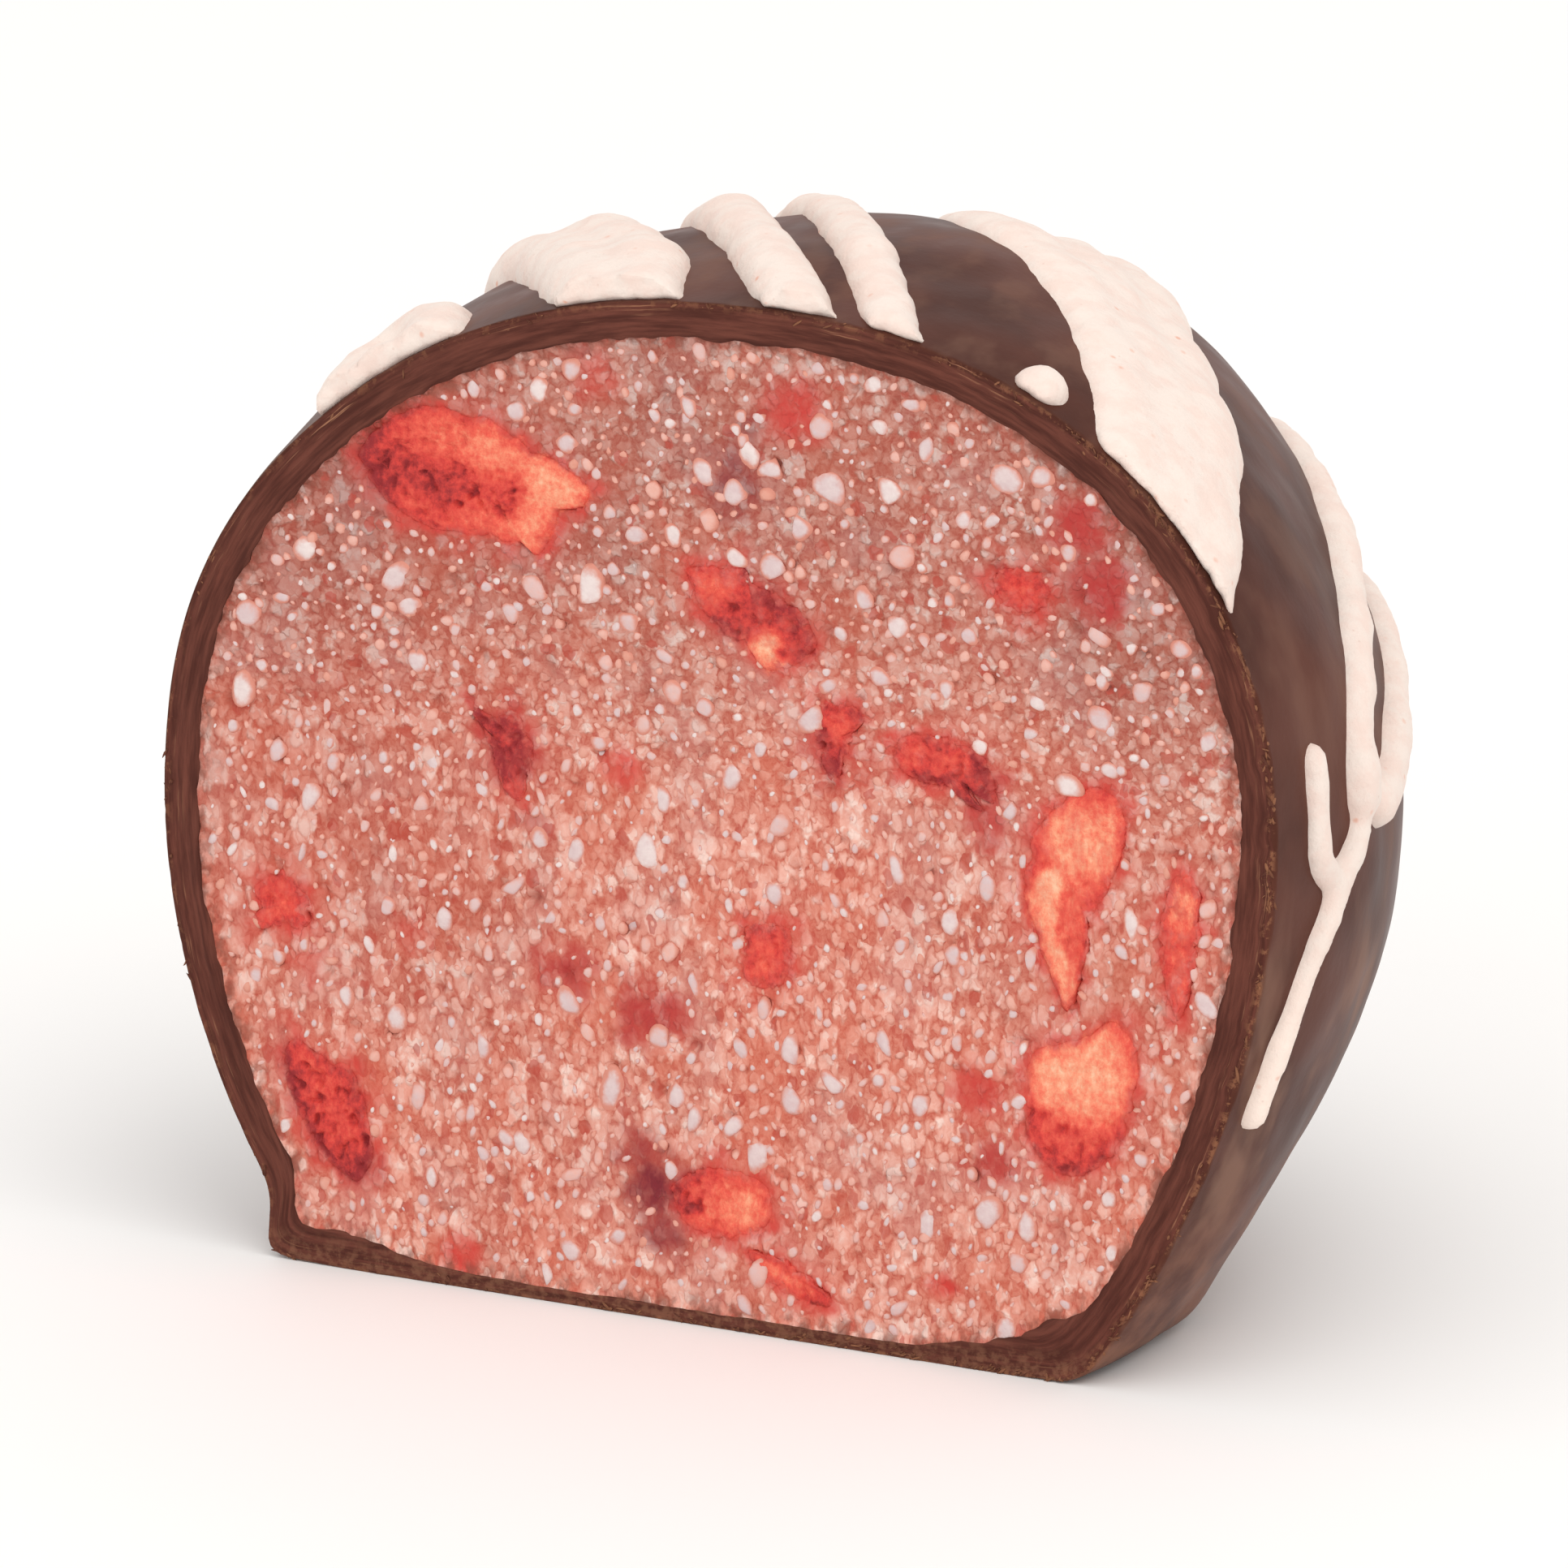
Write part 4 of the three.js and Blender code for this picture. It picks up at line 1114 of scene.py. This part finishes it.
# %% Lay out the nut
# Middle across and up, and width, of the chips that can be seen one by one.
BIG_CHIPS = [(-9.5, 20.5, 1.1), (-9.1, 19.8, 0.8), (-10.1, 19.5, 0.5), (-3.5, 21.0, 1.2),
             (3.8, 24.8, 1.1), (1.3, 25.5, 1.0), (2.0, 25.1, 0.8), (0.0, 24.8, 0.8),
             (-0.5, 26.6, 0.7), (9.1, 25.7, 1.1), (10.2, 25.9, 0.7), (8.7, 24.5, 0.7),
             (7.8, 24.4, 0.7), (-1.8, 13.7, 1.3), (2.6, 8.5, 0.9), (-2.9, 6.5, 1.1),
             (8.6, 4.6, 0.9), (-0.9, 6.6, 1.0), (-0.4, 6.0, 0.7), (1.6, 5.3, 1.0),
             (12.9, 13.6, 1.1), (9.2, 1.3, 1.0), (-8.5, 15.2, 0.9), (-6.9, 14.7, 0.6),
             (-11.2, 8.1, 0.8), (-5.7, 4.5, 1.0), (0.8, 16.2, 0.9), (7.3, 19.5, 0.6),
             (6.7, 26.3, 0.8), (3.9, 7.7, 0.7), (5.8, 14.2, 0.9), (15.1, 19.0, 0.7),
             (15.2, 11.6, 1.0), (-4.2, 1.6, 0.8), (6.8, 4.0, 0.9), (-1.3, 15.2, 0.8),
             (-6.2, 4.6, 0.6)]
CHIPS, CHIP_GAP = 210, 0.9
MEAL, MEAL_GAP = 1900, 0.3
TRIALS = 4000


def scatter(count, gap, taken):
    """Random places on the cut, each at least `gap` from the places that are taken already."""
    kept = [tuple(p) for p in taken]
    grid = {}
    for p in kept:
        grid.setdefault((int(p[0] // gap), int(p[1] // gap)), []).append(p)
    found = []
    while len(found) < count:
        trial = dice.uniform((-17, 0.3), (18, 29.5), (TRIALS, 2))
        trial = trial[(from_rim(trial) > 0.3) & clear_of_fruit(trial, 0.1)]
        for p in trial:
            cell = (int(p[0] // gap), int(p[1] // gap))
            near = [q for i in (-1, 0, 1) for j in (-1, 0, 1)
                    for q in grid.get((cell[0] + i, cell[1] + j), [])]
            if all((p[0] - q[0]) ** 2 + (p[1] - q[1]) ** 2 > gap * gap for q in near):
                grid.setdefault(cell, []).append(tuple(p))
                found.append(p)
                if len(found) == count:
                    break
    return np.array(found)


chosen = np.array(BIG_CHIPS)
chip_spots = scatter(CHIPS, CHIP_GAP, chosen[:, :2])
all_chips = np.concatenate([chosen[:, :2], chip_spots])
meal_spots = scatter(MEAL, MEAL_GAP, all_chips)
print("chips:", len(all_chips), "meal:", len(meal_spots))


# %% Chopped nut and nut meal
THICKEST = 0.14      # half the thickness of the thickest chip
JUST_BEHIND = 0.01   # no grain comes nearer to the knife plane than this


def lay_nut(name, spots, widths, subdivisions, sunk, tones):
    """One mesh of grains seated on the paste, `sunk` times their half thickness behind it."""
    count = len(spots)
    lower = spots[:, 1] < 17
    long_side = widths / 2 * dice.uniform(1.0, np.where(lower, 1.3, 1.12), count)
    short_side = widths / 2 * dice.uniform(np.where(lower, 0.62, 0.8), 0.98, count)
    thick = widths / 2 * dice.uniform(0.35, 0.6, count)
    upright = 1.4 + dice.normal(0, np.where(lower, 0.5, 1.5), count)
    thick = np.minimum(thick, THICKEST)
    middles = np.stack([spots[:, 0], relief_at(spots) + thick * sunk, spots[:, 1]], 1)
    halves = np.stack([long_side, thick, short_side], 1)
    points, faces, unit_ball = chips(middles, halves, upright, subdivisions)
    points[:, 1] = np.maximum(points[:, 1], JUST_BEHIND)
    marks = {"shade": np.repeat(tones, len(unit_ball)), "core": np.tile(-unit_ball[:, 1], count)}
    finish_mesh(name, points, faces, [], nut, marks)


small_widths = 0.34 + 0.42 * dice.random(len(chip_spots)) ** 1.8
chip_widths = np.concatenate([chosen[:, 2] * 0.85, small_widths])
chip_tones = 0.62 + 0.4 * (chip_widths - 0.4) + dice.normal(0, 0.14, len(chip_widths))
chip_tones = np.clip(chip_tones, 0.2, 0.95)
chip_tones[:len(chosen)] = np.clip(chip_tones[:len(chosen)], 0.78, 0.95)
lay_nut("chopped_nut", all_chips, chip_widths, 3, 0.45, chip_tones)
meal_widths = 0.15 + 0.24 * dice.random(len(meal_spots)) ** 1.6
meal_tones = np.clip(dice.normal(0.48, 0.25, len(meal_spots)), 0.05, 0.95)
lay_nut("nut_meal", meal_spots, meal_widths, 2, 0.55, meal_tones)

# %% [markdown]
# ## Pieces of dried strawberry
#
# Each piece is a disc of rings and spokes on the cut, with a shallow bowl behind it that sits
# in the paste. A cut-out ball would need a boolean for each piece, and this needs none. The
# relief in the disc is what makes it look dried: pores between fibres, so two scales of noise
# are pushed in, deeper where the piece is red. Its rim tucks in under the paste.

# %% Front of a piece
FRUIT_SPOKES, FRUIT_RINGS, BOWL_RINGS = 120, 28, 6
BOWL = 0.9           # how far back a piece reaches behind its front
FRONT, BOWL_LIP = 0.08, 0.3
TUCK = 0.12          # how far the rim goes back under the paste


def relief_of_piece(front, veil, patches, number):
    """Depth of the fibres, and of the pores, which are deeper where the piece is red."""
    fibres = rumple(front, 0.45, number) + 0.7 * rumple(front, 0.2, number + 3)
    pores = rumple(front, 0.36, number + 7) + 0.6 * rumple(front, 0.17, number + 9)
    red_here = np.clip(tone_at(front[..., [0, 2]], patches) * 1.6 - 0.35, 0.1, 1)
    return 0.035 * fibres, np.clip(pores - 0.05, 0, 1) * red_here * (1 - 0.8 * veil)


print("front of a piece:", FRUIT_SPOKES * FRUIT_RINGS + 1, "points")

# %% A piece from its outline and its tones
def shape_piece(veil, corners, patches, number):
    """Points, faces and marks of one piece: rings on the cut and a bowl of rings behind."""
    angle = np.linspace(0, 2 * np.pi, FRUIT_SPOKES, endpoint=False)
    middle = np.mean(corners, axis=0)
    outline = reach_of_piece(angle, corners)
    share = (np.arange(1, FRUIT_RINGS + 1) / FRUIT_RINGS)[:, None]
    back = np.linspace(0.15, 1.4, BOWL_RINGS)[:, None]
    far = np.concatenate([share, np.cos(back)]) * outline[None, :]
    grid = np.stack([middle[0] + far * np.cos(angle), 0 * far, middle[1] + far * np.sin(angle)], -1)
    fibres, pores = relief_of_piece(grid[:FRUIT_RINGS], veil, patches, number)
    tucked = np.clip((share - 0.9) / 0.1, 0, 1) ** 2
    grid[:FRUIT_RINGS, :, 1] = np.clip(FRONT + fibres + 0.35 * pores, 0, 1) + TUCK * tucked
    grid[FRUIT_RINGS:, :, 1] = BOWL_LIP + BOWL * np.sin(back)
    ends = np.array([(middle[0], FRONT, middle[1]), (middle[0], BOWL_LIP + BOWL, middle[1])])
    points = np.concatenate([grid.reshape(-1, 3), ends])
    rows = FRUIT_RINGS + BOWL_RINGS
    faces = bands(0, rows, FRUIT_SPOKES) + fan(len(points) - 2, 0, FRUIT_SPOKES)
    faces += fan(len(points) - 1, (rows - 1) * FRUIT_SPOKES, FRUIT_SPOKES, last=True)
    ripe, same = tone_at(points[:, [0, 2]], patches), np.ones(len(points))
    marks = {"ripe": ripe, "pore": np.append(pores, np.zeros(BOWL_RINGS * FRUIT_SPOKES + 2)),
             "gap": np.append(far - outline, [-1, -1]), "veil": same * veil,
             "near_coat": same * FAR_OFF, "red": same * 0.85,
             "purple": np.clip(ripe - 0.7, 0, 1) * 1.3}
    return points, faces, marks


print("marks of a piece:", ", ".join(shape_piece(*FRUIT[0], 1)[2]))

# %% All fourteen pieces
fruit_finish = filling_finish("dried_strawberry")
for number, (veil, corners, patches) in enumerate(FRUIT, start=1):
    points, faces, marks = shape_piece(veil, corners, patches, number)
    finish_mesh(f"strawberry_{number:02d}", points, faces,
                [f"strawberry_piece_{number:02d}"], fruit_finish, marks)

# %% [markdown]
# ## Crumbs of chocolate
#
# Where the coating broke, fine crumbs cling to its outer corner. They are lighter than the
# skin, because broken chocolate scatters light. A bump cannot break up an outline, so they are
# chips again, thickest on the right side and along the foot.

# %% Crumb material
crumb, shader, wire = new_finish("chocolate_crumb")
where = place(wire)
shade = painted(wire, "shade")
tone = mix(shade + cloud(where, 0.15, 2.0) * 0.4 - 0.2, colour(88, 50, 40), colour(142, 96, 70))
connect(tone, shader, "Base Color")
connect(0.55 + shade * 0.15, shader, "Roughness")
connect(bump(cloud(where, 0.1, 2.0), 0.02), shader, "Normal")
shader.inputs["Specular IOR Level"].default_value = 0.1
print("crumb nodes:", len(crumb.node_tree.nodes))

# %% Crumbs along the broken edge
CRUMBS = 1500
CRUMB_SPREAD = 0.12      # how far they lie inward of the edge

crowded = brittle ** 1.5 * np.clip(0.35 + 1.3 * rumple(rim_out, 1.1, 12.0), 0.02, 1)
picks = dice.choice(COAT_TURNS, CRUMBS, p=crowded / crowded.sum())
edge_at = outside[-1][picks]
middles = edge_at + inward[picks] * np.abs(dice.normal(0.0, CRUMB_SPREAD, (CRUMBS, 1)))
middles[:, 1] = np.abs(dice.normal(0.05, 0.05, CRUMBS)) + 0.02
middles[:, 2] = np.maximum(middles[:, 2], 0.06)
sizes = 0.012 + 0.04 * dice.random((CRUMBS, 1)) ** 3.0
halves = sizes * np.stack([dice.uniform(1.0, 5.0, CRUMBS), dice.uniform(0.6, 1.2, CRUMBS),
                           dice.uniform(0.6, 1.1, CRUMBS)], 1)
along = np.arctan2(-inward[picks, 0], inward[picks, 2]) + dice.normal(0, 0.5, CRUMBS)
points, faces, unit_ball = chips(middles, halves, along, 1)
points[:, 1] = np.maximum(points[:, 1], 0.0)
points[:, 2] = np.maximum(points[:, 2], 0.0)
finish_mesh("chocolate_crumbs", points, faces, [], crumb,
            {"shade": np.repeat(dice.random(CRUMBS), len(unit_ball))})

# %% [markdown]
# ## Table and light
#
# The truffle stands in a light tent: a pale floor, an even glow from all sides, and a larger
# soft source high on the right. A sun lamp would draw hard shadows into every pore of the cut.
# So the world gives the glow, and two area lights far larger than the truffle give the rest.

# %% Floor
FLOOR_HALF = 1.6     # metres

floor = bpy.data.objects.new("floor", bpy.data.meshes.new("floor"))
floor_corners = [(sx * FLOOR_HALF, sy * FLOOR_HALF, 0)
                 for sx, sy in ((-1, -1), (1, -1), (1, 1), (-1, 1))]
floor.data.from_pydata(floor_corners, [], [(0, 1, 2, 3)])
floor_finish, shader, wire = new_finish("table")
shader.inputs["Base Color"].default_value = colour(246, 245, 244)
shader.inputs["Roughness"].default_value = 0.7
shader.inputs["Specular IOR Level"].default_value = 0.2
floor.data.materials.append(floor_finish)
bpy.context.scene.collection.objects.link(floor)
print("floor:", 2 * FLOOR_HALF, "m wide")

# %% Light
world = bpy.data.worlds.new("light_tent")
world.use_nodes = True
world.node_tree.nodes["Background"].inputs["Color"].default_value = (1.0, 0.99, 0.98, 1.0)
world.node_tree.nodes["Background"].inputs["Strength"].default_value = 0.92
bpy.context.scene.world = world


def soft_light(name, toward, distance, size, watts, tint):
    """A square light that shines on the middle of the truffle from direction `toward`."""
    lamp = bpy.data.objects.new(name, bpy.data.lights.new(name, "AREA"))
    lamp.data.size, lamp.data.energy, lamp.data.color = size, watts, tint
    toward = Vector(toward).normalized()
    lamp.location = toward * distance
    lamp.rotation_euler = toward.to_track_quat("Z", "Y").to_euler()
    bpy.context.scene.collection.objects.link(lamp)


soft_light("key", (0.5, -0.35, 1.0), 0.6, 0.45, 1.1, (1.0, 0.97, 0.94))
soft_light("front", (-0.2, -1.0, 0.6), 0.7, 0.5, 0.6, (1.0, 0.98, 0.96))
bpy.context.scene.view_settings.view_transform = "Standard"
print("lights:", len(bpy.data.lights), "and the world")
